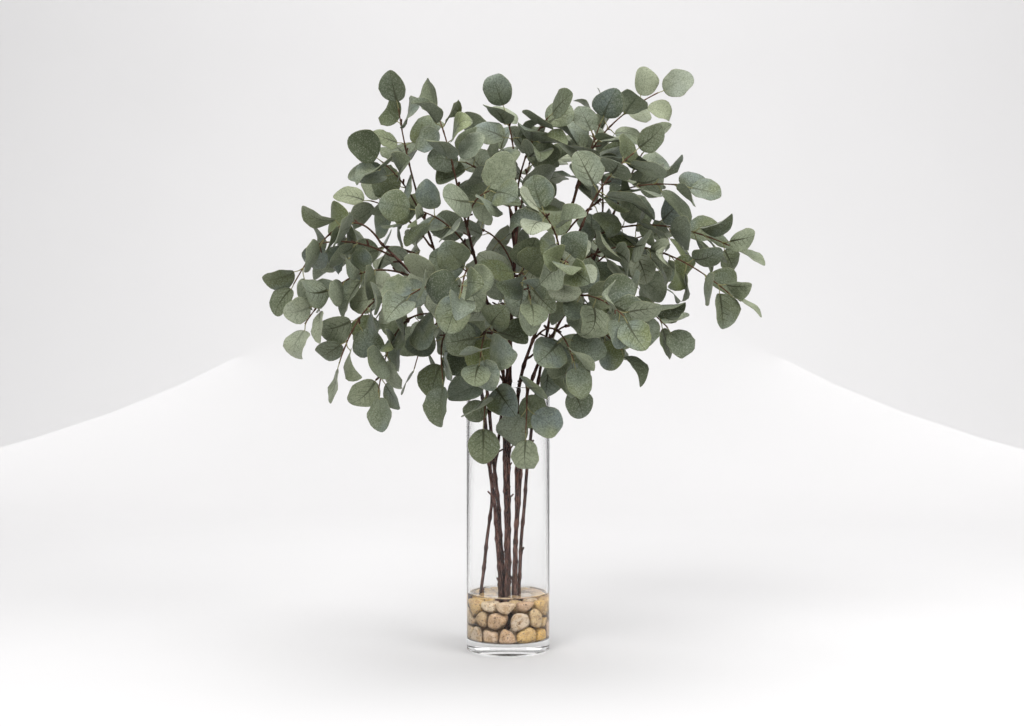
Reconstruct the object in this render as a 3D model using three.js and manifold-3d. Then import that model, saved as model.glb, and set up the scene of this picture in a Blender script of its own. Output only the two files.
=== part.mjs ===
// Silver-dollar eucalyptus branches in a clear glass cylinder vase, with river stones and water.
// Millimetres, +Z up. The origin is the centre of the vase's flat underside, and the front faces -Y.
import * as THREE from "three";
import { mergeVertices } from "three/addons/utils/BufferGeometryUtils.js";
import Module from "manifold-3d";

const wasm = await Module();
wasm.setup();

// ---------------------------------------------------------------- driving dimensions

const CLEARANCE = 0.3;
const ROUND_SIDES = 48;

const VASE = { height: 406, radius: 63.5, wall: 4, base: 18, edge: 1.5, insideCorner: 3 };
const INSIDE_RADIUS = VASE.radius - VASE.wall;
const FILL_RADIUS = INSIDE_RADIUS * Math.cos(Math.PI / ROUND_SIDES) - CLEARANCE;

const STONES = {
  bottom: VASE.base + CLEARANCE,
  top: 81,
  layers: 3,
  outerRing: { count: 12, radius: 46 },
  innerRing: { count: 5, radius: 27 },
  jitter: 8,
  turnJitter: 0.6,
  stemRoom: 9,
  bite: 1,
  roundness: 6,
  detail: 1,
  seed: 5,
};
const WATER = { bottom: STONES.top + CLEARANCE, top: 87 };

const STEM = { foot: VASE.base + 4, sides: 8, vaseSteps: 4, ringsPerStep: 2, tipRadius: 1.9, taper: 1.5 };
const TWIG = { baseRadius: 1.6, tipRadius: 0.9, sides: 4, step: 36, standoff: 1, bendAt: 0.5 };
const LEAF = {
  firstAt: 42,
  spacing: 26,
  width: 57,
  tipShrink: 0.2,
  stalk: 13,
  stalkHalfWidth: 1.2,
  stalkHalfDepth: 0.8,
  halfThickness: 0.9,
};

// Where the leaves of a shoot sit, as shares of its length or of the spacing.
const PLACES = { latestFirst: 0.4, last: 0.94, tip: 0.98, pairJitter: 0.3, leafJitter: 0.03 };

// How the leaves turn, in radians. A pair opens wide low on a shoot and less near its tip. The leaves face up
// their twig, upwards, out from the vase's axis and a little to the front.
const ANGLES = {
  pairTurnSpread: 1,
  leafTurnSpread: 0.5,
  rollSpread: 1.3,
  lowOpening: 1.25,
  highOpening: 0.8,
  openingSpread: 0.3,
  tipOpening: 0.25,
  sag: 0.12,
  facing: [0, -0.45, 0.3],
  outwards: 0.45,
};

// How the leaves vary in width, and in length over width. A few are narrow and long.
const SIZES = {
  width: [0.86, 1.1],
  ratio: [0.94, 1.12],
  tipWidth: [0.9, 1.15],
  tipRatio: [1, 1.2],
  longShare: 0.12,
  longWidth: 0.8,
  longRatio: 1.5,
};

// The room each leaf needs, and how it is turned and shrunk to find that room.
const ROOM = { leafGap: 2.4, stemGap: 5, glassGap: 3, stemSteps: 4, tries: 14, swing: 0.3, shrink: 0.02 };
const TINY = 1e-9;

// Every stem has its foot on the base, bows out to cross the rim, and passes three points in the crown. Its
// leafy shoots are [from, tip, arch]. "from" counts crown points, with 0 at the rim and 3 at the stem's end.
// "arch" lifts the middle of the shoot, as a share of its length.
const STEMS = [
  {
    name: "middle",
    radius: 4.3,
    bow: 1.7,
    foot: [0, 2],
    rim: [2, 4],
    crown: [[5, 0, 520], [12, -8, 640], [10, -10, 735]],
    shoots: [
      [3, [-4, -15, 818], 0],
      [2.6, [60, -60, 808], 0.05],
      [2.2, [-64, -44, 742], 0.05],
      [1.9, [40, 90, 770], 0],
      [1.1, [32, -190, 540], 0.1],
    ],
  },
  {
    name: "left_front",
    radius: 4.1,
    bow: 1.7,
    foot: [-2, -12],
    rim: [-6, -30],
    crown: [[-22, -55, 500], [-50, -75, 600], [-72, -75, 690]],
    shoots: [
      [3, [-104, -60, 810], 0.12],
      [2.5, [-26, -130, 696], 0],
      [2.1, [-132, -125, 668], 0.03],
      [1.6, [-66, -205, 548], 0.1],
      [1.2, [-140, -185, 545], 0.1],
      [0.7, [-40, -185, 452], 0.15],
      [0.15, [-36, -90, 356], 0.22],
    ],
  },
  {
    name: "left",
    radius: 4.0,
    bow: 1.7,
    foot: [-10, -4],
    rim: [-44, -16],
    crown: [[-82, -38, 490], [-140, -55, 570], [-190, -60, 622]],
    shoots: [
      [3, [-318, -75, 560], 0.2],
      [2.6, [-286, -30, 620], 0.03],
      [2.1, [-298, -110, 502], 0.08],
      [1.7, [-248, -110, 444], 0.12],
      [1.3, [-190, -120, 402], 0.1],
      [0.9, [-96, -105, 420], 0.2],
    ],
  },
  {
    name: "left_back",
    radius: 3.8,
    bow: 1.7,
    foot: [-6, 10],
    rim: [-36, 8],
    crown: [[-70, 35, 500], [-110, 45, 600], [-140, 30, 700]],
    shoots: [
      [3, [-166, 0, 826], 0.03],
      [2.6, [-190, -20, 744], 0.05],
      [2.2, [-212, 50, 688], 0.05],
      [1.8, [-250, 110, 600], 0.08],
      [1.4, [-210, 140, 505], 0.1],
      [0.9, [-150, 150, 424], 0.12],
    ],
  },
  {
    name: "back",
    radius: 3.2,
    bow: 1,
    foot: [-50, 6],
    rim: [-4, 38],
    crown: [[5, 75, 500], [10, 105, 600], [0, 115, 700]],
    shoots: [
      [3, [-30, 110, 782], 0],
      [2.4, [70, 150, 755], 0.03],
      [1.9, [-80, 210, 650], 0.06],
      [1.5, [60, 240, 580], 0.1],
      [1.0, [-40, 240, 480], 0.12],
    ],
  },
  {
    name: "right_front",
    radius: 4.0,
    bow: 1,
    foot: [9, -8],
    rim: [16, -38],
    crown: [[40, -75, 485], [75, -100, 570], [110, -105, 650]],
    shoots: [
      [3, [184, -110, 752], 0.05],
      [2.1, [48, -170, 664], 0.03],
      [1.8, [80, -230, 590], 0.06],
      [1.4, [165, -200, 515], 0.1],
      [1.0, [95, -165, 450], 0.15],
      [0.6, [92, -84, 412], 0.3],
      [0.1, [26, -94, 340], 0.22],
    ],
  },
  {
    name: "right",
    radius: 3.3,
    bow: 1.7,
    foot: [15, 3],
    rim: [44, -12],
    crown: [[62, -12, 500], [80, -8, 610], [105, -5, 710]],
    shoots: [
      [3, [226, -15, 848], 0],
      [2.7, [138, -45, 800], 0],
      [2.3, [264, -60, 706], 0.05],
      [1.9, [340, -40, 614], 0.02],
      [1.6, [328, -90, 545], 0.1],
      [1.2, [236, -90, 496], 0.1],
      [0.8, [170, -66, 462], 0.1],
    ],
  },
  {
    name: "right_back",
    radius: 3.9,
    bow: 1.7,
    foot: [7, 13],
    rim: [34, 24],
    crown: [[75, 50, 490], [125, 75, 580], [165, 80, 670]],
    shoots: [
      [3, [208, 60, 762], 0.03],
      [2.5, [130, 90, 800], 0],
      [2.1, [270, 90, 640], 0.05],
      [1.7, [240, 150, 560], 0.1],
      [1.3, [165, 155, 482], 0.12],
      [1.5, [140, 220, 600], 0.06],
    ],
  },
];

// ---------------------------------------------------------------- materials

const material = (color, roughness) => new THREE.MeshStandardMaterial({ color, roughness, metalness: 0 });
const glass = material(0xe9efee, 0.05);
const water = material(0xdfe6e2, 0.05);
const stone = material(0xc9a878, 0.7);
const bark = material(0x4a3a33, 0.85);
const foliage = material(0x74826b, 0.7);

// ---------------------------------------------------------------- small helpers

const vector = (x, y, z) => new THREE.Vector3(x, y, z);
const mix = (a, b, share) => a + (b - a) * share;

/** A repeatable stream of numbers from 0 to 1. */
function randomStream(seed) {
  let state = (Math.imul(seed + 1, 2654435761) + 97) >>> 0;
  return () => {
    state = (Math.imul(state, 1664525) + 1013904223) >>> 0;
    return state / 4294967296;
  };
}

/** A geometry from its points and its triangles of point numbers. */
function geometryFrom(points, triangles) {
  const geometry = new THREE.BufferGeometry();
  geometry.setAttribute("position", new THREE.Float32BufferAttribute(points.flatMap((p) => p.toArray()), 3));
  geometry.setIndex(triangles.flat());
  return geometry;
}

function solidOf(geometry) {
  const bare = geometry.clone();
  bare.deleteAttribute("normal");
  bare.deleteAttribute("uv");
  const merged = mergeVertices(bare);
  return new wasm.Manifold(
    new wasm.Mesh({
      numProp: 3,
      vertProperties: merged.attributes.position.array,
      triVerts: new Uint32Array(merged.index.array),
    }),
  );
}

function geometryOf(solid) {
  const mesh = solid.getMesh();
  const geometry = new THREE.BufferGeometry();
  geometry.setAttribute("position", new THREE.BufferAttribute(mesh.vertProperties, 3));
  geometry.setIndex(new THREE.BufferAttribute(mesh.triVerts, 1));
  return geometry;
}

function named(name, geometry, itsMaterial) {
  geometry.computeVertexNormals();
  const mesh = new THREE.Mesh(geometry, itsMaterial);
  mesh.name = name;
  return mesh;
}

/** A round solid about the Z axis, from a profile of [radius, height] that runs from axis to axis. */
function turned(profile) {
  const points = profile.map(([radius, height]) => new THREE.Vector2(radius, height));
  return new THREE.LatheGeometry(points, ROUND_SIDES).rotateX(Math.PI / 2);
}

/** A closed tapering tube along a row of points. */
function taperedTube(centres, radii, sides) {
  const points = [];
  const triangles = [];
  let across = vector(1, 0, 0);
  centres.forEach((centre, i) => {
    const before = centres[Math.max(i - 1, 0)];
    const after = centres[Math.min(i + 1, centres.length - 1)];
    const along = after.clone().sub(before).normalize();
    across = across.clone().addScaledVector(along, -across.dot(along)).normalize();
    const up = along.clone().cross(across);
    for (let k = 0; k < sides; k += 1) {
      const turn = (2 * Math.PI * k) / sides;
      const point = centre.clone().addScaledVector(across, radii[i] * Math.cos(turn));
      points.push(point.addScaledVector(up, radii[i] * Math.sin(turn)));
    }
  });
  for (let i = 0; i + 1 < centres.length; i += 1) {
    for (let k = 0; k < sides; k += 1) {
      const a = i * sides + k;
      const b = i * sides + ((k + 1) % sides);
      triangles.push([a, b, b + sides], [a, b + sides, a + sides]);
    }
  }
  const last = (centres.length - 1) * sides;
  for (let k = 1; k + 1 < sides; k += 1) {
    triangles.push([0, k + 1, k], [last, last + k, last + k + 1]);
  }
  return geometryFrom(points, triangles);
}

// ---------------------------------------------------------------- paths of the stems and shoots

/** The waypoints of a stem: up the vase, leaning out more and more by its bow, then into the crown. */
function stemWaypoints(stem) {
  const points = [];
  for (let i = 0; i <= STEM.vaseSteps; i += 1) {
    const share = i / STEM.vaseSteps;
    const x = mix(stem.foot[0], stem.rim[0], share ** stem.bow);
    const y = mix(stem.foot[1], stem.rim[1], share ** stem.bow);
    points.push(vector(x, y, mix(STEM.foot, VASE.height, share)));
  }
  return points.concat(stem.crown.map(([x, y, z]) => vector(x, y, z)));
}

/** A smooth curve through the waypoints, where u counts waypoints. */
function pathPoint(waypoints, u) {
  const i = Math.min(Math.floor(u), waypoints.length - 2);
  const f = u - i;
  const start = waypoints[i];
  const end = waypoints[i + 1];
  const before = i > 0 ? waypoints[i - 1] : start;
  const after = i + 2 < waypoints.length ? waypoints[i + 2] : end;
  const leave = end.clone().sub(before).multiplyScalar(0.5);
  const arrive = after.clone().sub(start).multiplyScalar(0.5);
  return start
    .clone()
    .multiplyScalar(2 * f ** 3 - 3 * f ** 2 + 1)
    .addScaledVector(leave, f ** 3 - 2 * f ** 2 + f)
    .addScaledVector(end, -2 * f ** 3 + 3 * f ** 2)
    .addScaledVector(arrive, f ** 3 - f ** 2);
}

/** The way a stem points at u. */
function pathDirection(waypoints, u) {
  const step = 0.01;
  const from = Math.min(u, waypoints.length - 1 - step);
  return pathPoint(waypoints, from + step).sub(pathPoint(waypoints, from)).normalize();
}

function stemRadius(stem, u) {
  const length = STEM.vaseSteps + stem.crown.length;
  return mix(stem.radius, STEM.tipRadius, (u / length) ** STEM.taper);
}

/** A shoot's curve: it leaves beside the stem, half turned from the stem's way to its own tip. */
function shootCurve(stem, waypoints, [from, tipPlace, arch]) {
  const u = STEM.vaseSteps + from;
  const tip = vector(...tipPlace);
  const centre = pathPoint(waypoints, u);
  const stemWay = pathDirection(waypoints, u);
  const reach = tip.clone().sub(centre);
  const length = reach.length();
  const way = stemWay.clone().addScaledVector(reach, 1 / length).normalize();
  const atEnd = from === stem.crown.length;
  const outwards = atEnd ? stemWay : way.clone().addScaledVector(stemWay, -way.dot(stemWay)).normalize();
  const offset = atEnd ? 2 * CLEARANCE : stemRadius(stem, u) + TWIG.baseRadius + TWIG.standoff;
  const base = centre.clone().addScaledVector(outwards, offset);
  const bend = base.clone().addScaledVector(atEnd ? stemWay : way, TWIG.bendAt * length);
  bend.z += arch * length;
  return { base, bend, tip, length };
}

/** A point of a shoot, with s from 0 at its base to 1 at its tip. */
function shootPoint(curve, s) {
  return curve.base
    .clone()
    .multiplyScalar((1 - s) ** 2)
    .addScaledVector(curve.bend, 2 * s * (1 - s))
    .addScaledVector(curve.tip, s ** 2);
}

function shootDirection(curve, s) {
  const way = curve.bend.clone().sub(curve.base).multiplyScalar(1 - s);
  return way.addScaledVector(curve.tip.clone().sub(curve.bend), s).normalize();
}

function evenly(count, pointAt) {
  return Array.from({ length: count + 1 }, (_, i) => pointAt(i / count));
}

/** The twig's centres: the curve as a row of straight steps. */
function twigRow(curve) {
  return evenly(Math.ceil(curve.length / TWIG.step), (s) => shootPoint(curve, s));
}

/** A point on a row of straight steps, with s from 0 to 1. */
function rowPoint(row, s) {
  const steps = row.length - 1;
  const i = Math.min(Math.floor(s * steps), steps - 1);
  return row[i].clone().lerp(row[i + 1], s * steps - i);
}

// ---------------------------------------------------------------- leaves

/** The corners of a leaf's flat outline, the two at its stalk first and last. */
const BLADE_TURNS = [172, 116, 58, 0, -58, -116, -172];

function bladeCentre(leaf) {
  return leaf.root.clone().addScaledVector(leaf.along, leaf.stalk + leaf.length / 2);
}

function bladeCorners(leaf) {
  const centre = bladeCentre(leaf);
  return BLADE_TURNS.map((degrees) => {
    const turn = THREE.MathUtils.degToRad(degrees);
    const corner = centre.clone().addScaledVector(leaf.along, (leaf.length / 2) * Math.cos(turn));
    return corner.addScaledVector(leaf.side, (leaf.width / 2) * Math.sin(turn));
  });
}

/** Whether a straight line from p to q comes nearer to a leaf's blade than the gap. */
function lineMeetsBlade(p, q, leaf, gap) {
  const fromCentre = p.clone().sub(leaf.centre);
  const way = q.clone().sub(p);
  const height = fromCentre.dot(leaf.normal);
  const rise = way.dot(leaf.normal);
  let first = 0;
  let last = 1;
  if (Math.abs(rise) > TINY) {
    const low = (-gap - height) / rise;
    const high = (gap - height) / rise;
    first = Math.max(first, Math.min(low, high));
    last = Math.min(last, Math.max(low, high));
  } else if (Math.abs(height) > gap) {
    return false;
  }
  if (first > last) return false;
  const x = fromCentre.dot(leaf.along) / (leaf.length / 2 + gap);
  const y = fromCentre.dot(leaf.side) / (leaf.width / 2 + gap);
  const dx = way.dot(leaf.along) / (leaf.length / 2 + gap);
  const dy = way.dot(leaf.side) / (leaf.width / 2 + gap);
  const size = dx * dx + dy * dy;
  const nearest = size > 0 ? -(x * dx + y * dy) / size : first;
  const s = Math.min(Math.max(nearest, first), last);
  return (x + s * dx) ** 2 + (y + s * dy) ** 2 < 1;
}

function edgesMeetBlade(leaf, other) {
  if (lineMeetsBlade(leaf.root, leaf.corners[0], other, ROOM.leafGap)) return true;
  return leaf.corners.some((corner, i) => {
    const next = leaf.corners[(i + 1) % leaf.corners.length];
    return lineMeetsBlade(corner, next, other, ROOM.leafGap);
  });
}

function leavesMeet(a, b) {
  if (a.centre.distanceTo(b.centre) > a.reach + b.reach) return false;
  return edgesMeetBlade(a, b) || edgesMeetBlade(b, a);
}

/** Whether a leaf crosses a row of thin round segments. */
function crossesRow(leaf, row, gap) {
  return row.some((point, i) => {
    if (i === 0) return false;
    if (point.distanceTo(leaf.centre) > leaf.reach + point.distanceTo(row[i - 1])) return false;
    return lineMeetsBlade(row[i - 1], point, leaf, gap);
  });
}

/** Whether a leaf comes too near the glass: below the rim it hangs either inside the vase or outside it. */
function meetsVase(leaf) {
  const low = [leaf.centre, ...leaf.corners].filter((point) => point.z < VASE.height + ROOM.glassGap);
  const distances = low.map((point) => Math.hypot(point.x, point.y));
  const inside = distances.filter((distance) => distance < INSIDE_RADIUS - ROOM.glassGap).length;
  const outside = distances.filter((distance) => distance > VASE.radius + ROOM.glassGap).length;
  return inside < low.length && outside < low.length;
}

/** A leaf on a shoot, turned about the twig by `turn` and rolled about its own stalk by `roll`. */
function placeLeaf({ curve, s, turn, roll, opening, width, ratio }) {
  const way = shootDirection(curve, s);
  const level = way.clone().cross(vector(0, 0, 1)).normalize();
  const upper = level.clone().cross(way);
  const spoke = level.multiplyScalar(Math.cos(turn)).addScaledVector(upper, Math.sin(turn));
  const along = way.clone().multiplyScalar(Math.cos(opening)).addScaledVector(spoke, Math.sin(opening));
  along.z -= ANGLES.sag;
  along.normalize();
  const root = rowPoint(twigRow(curve), s);
  const outwards = vector(root.x, root.y, 0).normalize();
  const face = way.clone().add(vector(...ANGLES.facing)).addScaledVector(outwards, ANGLES.outwards);
  const flat = face.addScaledVector(along, -face.dot(along)).normalize();
  const flatSide = flat.clone().cross(along);
  const normal = flat.multiplyScalar(Math.cos(roll)).addScaledVector(flatSide, Math.sin(roll));
  const leaf = {
    root,
    along,
    normal,
    side: normal.clone().cross(along),
    stalk: LEAF.stalk,
    width,
    length: width * ratio,
  };
  leaf.centre = bladeCentre(leaf);
  leaf.corners = bladeCorners(leaf);
  leaf.reach = Math.max(leaf.width, leaf.length) / 2 + leaf.stalk + ROOM.leafGap;
  return leaf;
}

/** Tries a leaf at several turns about its twig, smaller each time, and gives the first that is clear. */
function growLeaf(place, isClear) {
  for (let i = 0; i < ROOM.tries; i += 1) {
    const swing = (i % 2 ? -1 : 1) * Math.ceil(i / 2) * ROOM.swing;
    const width = place.width * (1 - ROOM.shrink * i);
    const leaf = placeLeaf({ ...place, turn: place.turn + swing, width });
    if (isClear(leaf)) return leaf;
  }
  return null;
}

/** Where a shoot's leaves want to be: opposite pairs, each pair crosswise to the last, and one at the tip. */
function leafPlaces(curve, random) {
  const spread = (size) => size * (random() - 0.5);
  const between = ([least, most]) => mix(least, most, random());
  const places = [];
  const firstAt = Math.min(LEAF.firstAt, PLACES.latestFirst * curve.length);
  const pairs = Math.max(1, Math.round((curve.length - firstAt) / LEAF.spacing));
  let turn = random() * Math.PI;
  for (let i = 0; i < pairs; i += 1) {
    const s = (firstAt + (i + PLACES.pairJitter * random()) * LEAF.spacing) / curve.length;
    const shrink = 1 - LEAF.tipShrink * s ** 2;
    turn += Math.PI / 2 + spread(ANGLES.pairTurnSpread);
    for (const half of [0, Math.PI]) {
      const long = random() < SIZES.longShare;
      places.push({
        curve,
        s: Math.min(s + PLACES.leafJitter * random(), PLACES.last),
        turn: turn + half + spread(ANGLES.leafTurnSpread),
        roll: spread(ANGLES.rollSpread),
        opening: mix(ANGLES.lowOpening, ANGLES.highOpening, s) + spread(ANGLES.openingSpread),
        width: LEAF.width * shrink * between(SIZES.width) * (long ? SIZES.longWidth : 1),
        ratio: long ? SIZES.longRatio : between(SIZES.ratio),
      });
    }
  }
  places.push({
    curve,
    s: PLACES.tip,
    turn,
    roll: spread(ANGLES.rollSpread),
    opening: ANGLES.tipOpening * random(),
    width: LEAF.width * (1 - LEAF.tipShrink) * between(SIZES.tipWidth),
    ratio: between(SIZES.tipRatio),
  });
  return places;
}

/** A closed leaf: a thin blade, thickest in the middle, on a stalk that starts inside the twig. */
function leafGeometry(leaf) {
  const above = (point, height) => point.clone().addScaledVector(leaf.normal, height);
  const neck = leaf.root.clone().addScaledVector(leaf.along, leaf.stalk);
  const neckLeft = neck.clone().addScaledVector(leaf.side, LEAF.stalkHalfWidth);
  const neckRight = neck.clone().addScaledVector(leaf.side, -LEAF.stalkHalfWidth);
  const rim = [neckLeft, ...leaf.corners.slice(1, -1), neckRight];
  const top = rim.length;
  const bottom = top + 1;
  const rootTop = top + 2;
  const rootBottom = top + 3;
  const points = [
    ...rim,
    above(leaf.centre, LEAF.halfThickness),
    above(leaf.centre, -LEAF.halfThickness),
    above(leaf.root, LEAF.stalkHalfDepth),
    above(leaf.root, -LEAF.stalkHalfDepth),
  ];
  const end = rim.length - 1;
  const triangles = [
    [top, 0, rootTop],
    [top, rootTop, end],
    [bottom, rootBottom, 0],
    [bottom, end, rootBottom],
    [0, rootBottom, rootTop],
    [end, rootTop, rootBottom],
  ];
  for (let i = 0; i < end; i += 1) {
    triangles.push([top, i + 1, i], [bottom, i, i + 1]);
  }
  return geometryFrom(points, triangles);
}

// ---------------------------------------------------------------- stones

/** The line of a stem among the stones, as its foot and its way. */
function stemLine(stem) {
  const [foot, next] = stemWaypoints(stem);
  return { foot, way: next.clone().sub(foot).normalize() };
}

/** The shortest way from a point to a stem's line. */
function gapToStem(point, stem) {
  const { foot, way } = stemLine(stem);
  const gap = foot.sub(point);
  return gap.addScaledVector(way, -gap.dot(way));
}

/** The middles of the stones, in rings about the stems and in layers, with none where a stem stands. */
function stoneSeeds() {
  const random = randomStream(STONES.seed);
  const spread = (size) => size * (random() - 0.5);
  const layerHeight = (STONES.top - STONES.bottom) / STONES.layers;
  const seeds = [];
  for (let layer = 0; layer < STONES.layers; layer += 1) {
    for (const ring of [STONES.outerRing, STONES.innerRing]) {
      for (let i = 0; i < ring.count; i += 1) {
        const turn = (2 * Math.PI * (i + 0.5 * layer + spread(STONES.turnJitter))) / ring.count;
        const radius = ring.radius + spread(STONES.jitter);
        const height = STONES.bottom + layerHeight * (layer + 0.5) + spread(STONES.jitter);
        seeds.push(vector(radius * Math.cos(turn), radius * Math.sin(turn), height));
      }
    }
  }
  return seeds.filter((seed) => STEMS.every((stem) => gapToStem(seed, stem).length() > STONES.stemRoom));
}

/** The flat limits of a stone, as its outward direction and distance from the seed. */
function stoneLimits(seed, seeds) {
  const limits = [
    { outward: vector(0, 0, 1), distance: STONES.top - seed.z },
    { outward: vector(0, 0, -1), distance: seed.z - STONES.bottom },
  ];
  for (const other of seeds) {
    if (other === seed) continue;
    const gap = other.clone().sub(seed);
    limits.push({ outward: gap.clone().normalize(), distance: gap.length() / 2 + STONES.bite });
  }
  for (const stem of STEMS) {
    const gap = gapToStem(seed, stem);
    limits.push({ outward: gap.clone().normalize(), distance: gap.length() - stem.radius - CLEARANCE });
  }
  return limits;
}

/** How far a stone reaches from its seed one way: rounded off inside all its limits and the glass. */
function stoneReach(seed, limits, direction) {
  const flat = direction.x ** 2 + direction.y ** 2;
  const across = seed.x * direction.x + seed.y * direction.y;
  const room = FILL_RADIUS ** 2 - seed.x ** 2 - seed.y ** 2;
  const toGlass = flat > TINY ? (Math.sqrt(across ** 2 + flat * room) - across) / flat : Infinity;
  let sum = (1 / toGlass) ** STONES.roundness;
  for (const { outward, distance } of limits) {
    sum += Math.max(0, outward.dot(direction) / distance) ** STONES.roundness;
  }
  return sum ** (-1 / STONES.roundness);
}

function stoneGeometry(seed, seeds) {
  const limits = stoneLimits(seed, seeds);
  const ball = new THREE.OctahedronGeometry(1, STONES.detail);
  const places = ball.attributes.position;
  for (let i = 0; i < places.count; i += 1) {
    const direction = vector().fromBufferAttribute(places, i).normalize();
    const point = seed.clone().addScaledVector(direction, stoneReach(seed, limits, direction));
    places.setXYZ(i, point.x, point.y, point.z);
  }
  return ball;
}

// ---------------------------------------------------------------- the parts

function vaseMesh() {
  const { height, radius, base, edge, insideCorner } = VASE;
  const profile = [
    [0, 0],
    [radius - edge, 0],
    [radius, edge],
    [radius, height - edge],
    [radius - edge, height],
    [INSIDE_RADIUS + edge, height],
    [INSIDE_RADIUS, height - edge],
    [INSIDE_RADIUS, base + insideCorner],
    [INSIDE_RADIUS - insideCorner, base],
    [0, base],
  ];
  return named("vase", turned(profile), glass);
}

function stonesMesh() {
  const seeds = stoneSeeds();
  const stones = seeds.map((seed) => solidOf(stoneGeometry(seed, seeds)));
  return named("river_stones", geometryOf(wasm.Manifold.union(stones)), stone);
}

function stemMesh(stem) {
  const waypoints = stemWaypoints(stem);
  const last = waypoints.length - 1;
  const steps = [];
  for (let i = 0; i < last; i += 1) {
    const rings = i < STEM.vaseSteps - 1 ? 1 : STEM.ringsPerStep;
    for (let k = 0; k < rings; k += 1) steps.push(i + k / rings);
  }
  steps.push(last);
  const centres = steps.map((u) => pathPoint(waypoints, u));
  const radii = steps.map((u) => stemRadius(stem, u));
  return named(`stem_${stem.name}`, taperedTube(centres, radii, STEM.sides), bark);
}

/** The clear layer of water over the stones, with a hole round each stem. */
function waterMesh() {
  const profile = [
    [0, WATER.bottom],
    [INSIDE_RADIUS - CLEARANCE, WATER.bottom],
    [INSIDE_RADIUS - CLEARANCE, WATER.top],
    [0, WATER.top],
  ];
  const holes = STEMS.map((stem) => {
    const waypoints = stemWaypoints(stem);
    const ends = [pathPoint(waypoints, 0), pathPoint(waypoints, 1)];
    const radius = (stem.radius + CLEARANCE) / Math.cos(Math.PI / STEM.sides);
    return solidOf(taperedTube(ends, [radius, radius], STEM.sides));
  });
  const layer = solidOf(turned(profile));
  return named("water", geometryOf(layer.subtract(wasm.Manifold.union(holes))), water);
}

function shootMesh(name, curve, leaves) {
  const row = twigRow(curve);
  const radii = evenly(row.length - 1, (s) => mix(TWIG.baseRadius, TWIG.tipRadius, s));
  const twig = solidOf(taperedTube(row, radii, TWIG.sides));
  const blades = leaves.map((leaf) => solidOf(leafGeometry(leaf)));
  return named(name, geometryOf(wasm.Manifold.union([twig, ...blades])), foliage);
}

/** All the shoots with their leaves, each leaf clear of the wood, the glass and every leaf before it. */
function growShoots() {
  const stemRows = STEMS.map((stem) => {
    const waypoints = stemWaypoints(stem);
    const gaps = waypoints.length - 1;
    return evenly(ROOM.stemSteps * gaps, (share) => pathPoint(waypoints, share * gaps));
  });
  const shoots = STEMS.flatMap((stem) => {
    const waypoints = stemWaypoints(stem);
    return stem.shoots.map((plan, i) => {
      const curve = shootCurve(stem, waypoints, plan);
      return { name: `shoot_${stem.name}_${i + 1}`, curve, row: twigRow(curve), leaves: [] };
    });
  });
  shoots.forEach((shoot, number) => {
    const isClear = (leaf) => {
      if (meetsVase(leaf)) return false;
      if (stemRows.some((row) => crossesRow(leaf, row, ROOM.stemGap))) return false;
      const others = shoots.filter((other) => other !== shoot);
      if (others.some((other) => crossesRow(leaf, other.row, ROOM.leafGap))) return false;
      return !shoots.some((other) => other.leaves.some((grown) => leavesMeet(leaf, grown)));
    };
    for (const place of leafPlaces(shoot.curve, randomStream(number))) {
      const leaf = growLeaf(place, isClear);
      if (leaf) shoot.leaves.push(leaf);
    }
  });
  return shoots;
}

const arrangement = new THREE.Group();
arrangement.add(vaseMesh(), waterMesh(), stonesMesh());
for (const stem of STEMS) arrangement.add(stemMesh(stem));
for (const { name, curve, leaves } of growShoots()) arrangement.add(shootMesh(name, curve, leaves));

export default arrangement;
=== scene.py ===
"""Silver-dollar eucalyptus branches in a clear glass cylinder vase, with river stones and water.

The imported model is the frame. The stems, shoots, leaves and stones are placed by the same recipe as in the
CAD part, in metres, and each one gets its fine shape and its material here.
"""

import math
from types import SimpleNamespace

import bpy
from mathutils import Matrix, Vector, noise


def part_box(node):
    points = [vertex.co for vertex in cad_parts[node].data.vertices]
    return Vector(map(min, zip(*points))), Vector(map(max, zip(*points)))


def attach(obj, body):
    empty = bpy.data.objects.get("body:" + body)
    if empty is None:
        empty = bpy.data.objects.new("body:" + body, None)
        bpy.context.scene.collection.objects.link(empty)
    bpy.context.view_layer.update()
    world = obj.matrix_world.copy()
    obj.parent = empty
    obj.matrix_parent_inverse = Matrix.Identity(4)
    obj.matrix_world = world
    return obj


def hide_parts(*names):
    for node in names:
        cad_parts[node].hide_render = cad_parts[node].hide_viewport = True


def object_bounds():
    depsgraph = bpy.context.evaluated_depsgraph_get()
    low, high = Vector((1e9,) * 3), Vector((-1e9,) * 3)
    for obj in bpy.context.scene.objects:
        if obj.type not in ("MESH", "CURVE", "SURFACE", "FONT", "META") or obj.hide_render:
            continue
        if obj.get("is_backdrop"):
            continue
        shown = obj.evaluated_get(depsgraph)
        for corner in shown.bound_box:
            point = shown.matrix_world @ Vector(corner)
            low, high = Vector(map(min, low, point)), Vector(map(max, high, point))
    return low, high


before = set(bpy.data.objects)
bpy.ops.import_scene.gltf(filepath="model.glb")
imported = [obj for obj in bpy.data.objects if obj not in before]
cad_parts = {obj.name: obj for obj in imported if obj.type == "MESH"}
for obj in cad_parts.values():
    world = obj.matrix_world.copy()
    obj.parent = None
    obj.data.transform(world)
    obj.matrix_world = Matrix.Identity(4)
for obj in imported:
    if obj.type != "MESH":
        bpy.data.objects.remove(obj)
CAD_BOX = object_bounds()

# ---------------------------------------------------------------- sizes from the frame

VASE_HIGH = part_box("vase")[1]
VASE_HEIGHT = VASE_HIGH.z
VASE_RADIUS = VASE_HIGH.x
STONES_LOW, STONES_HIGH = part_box("river_stones")
WATER_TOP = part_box("water")[1].z

# ---------------------------------------------------------------- sizes that the CAD part shares

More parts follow.
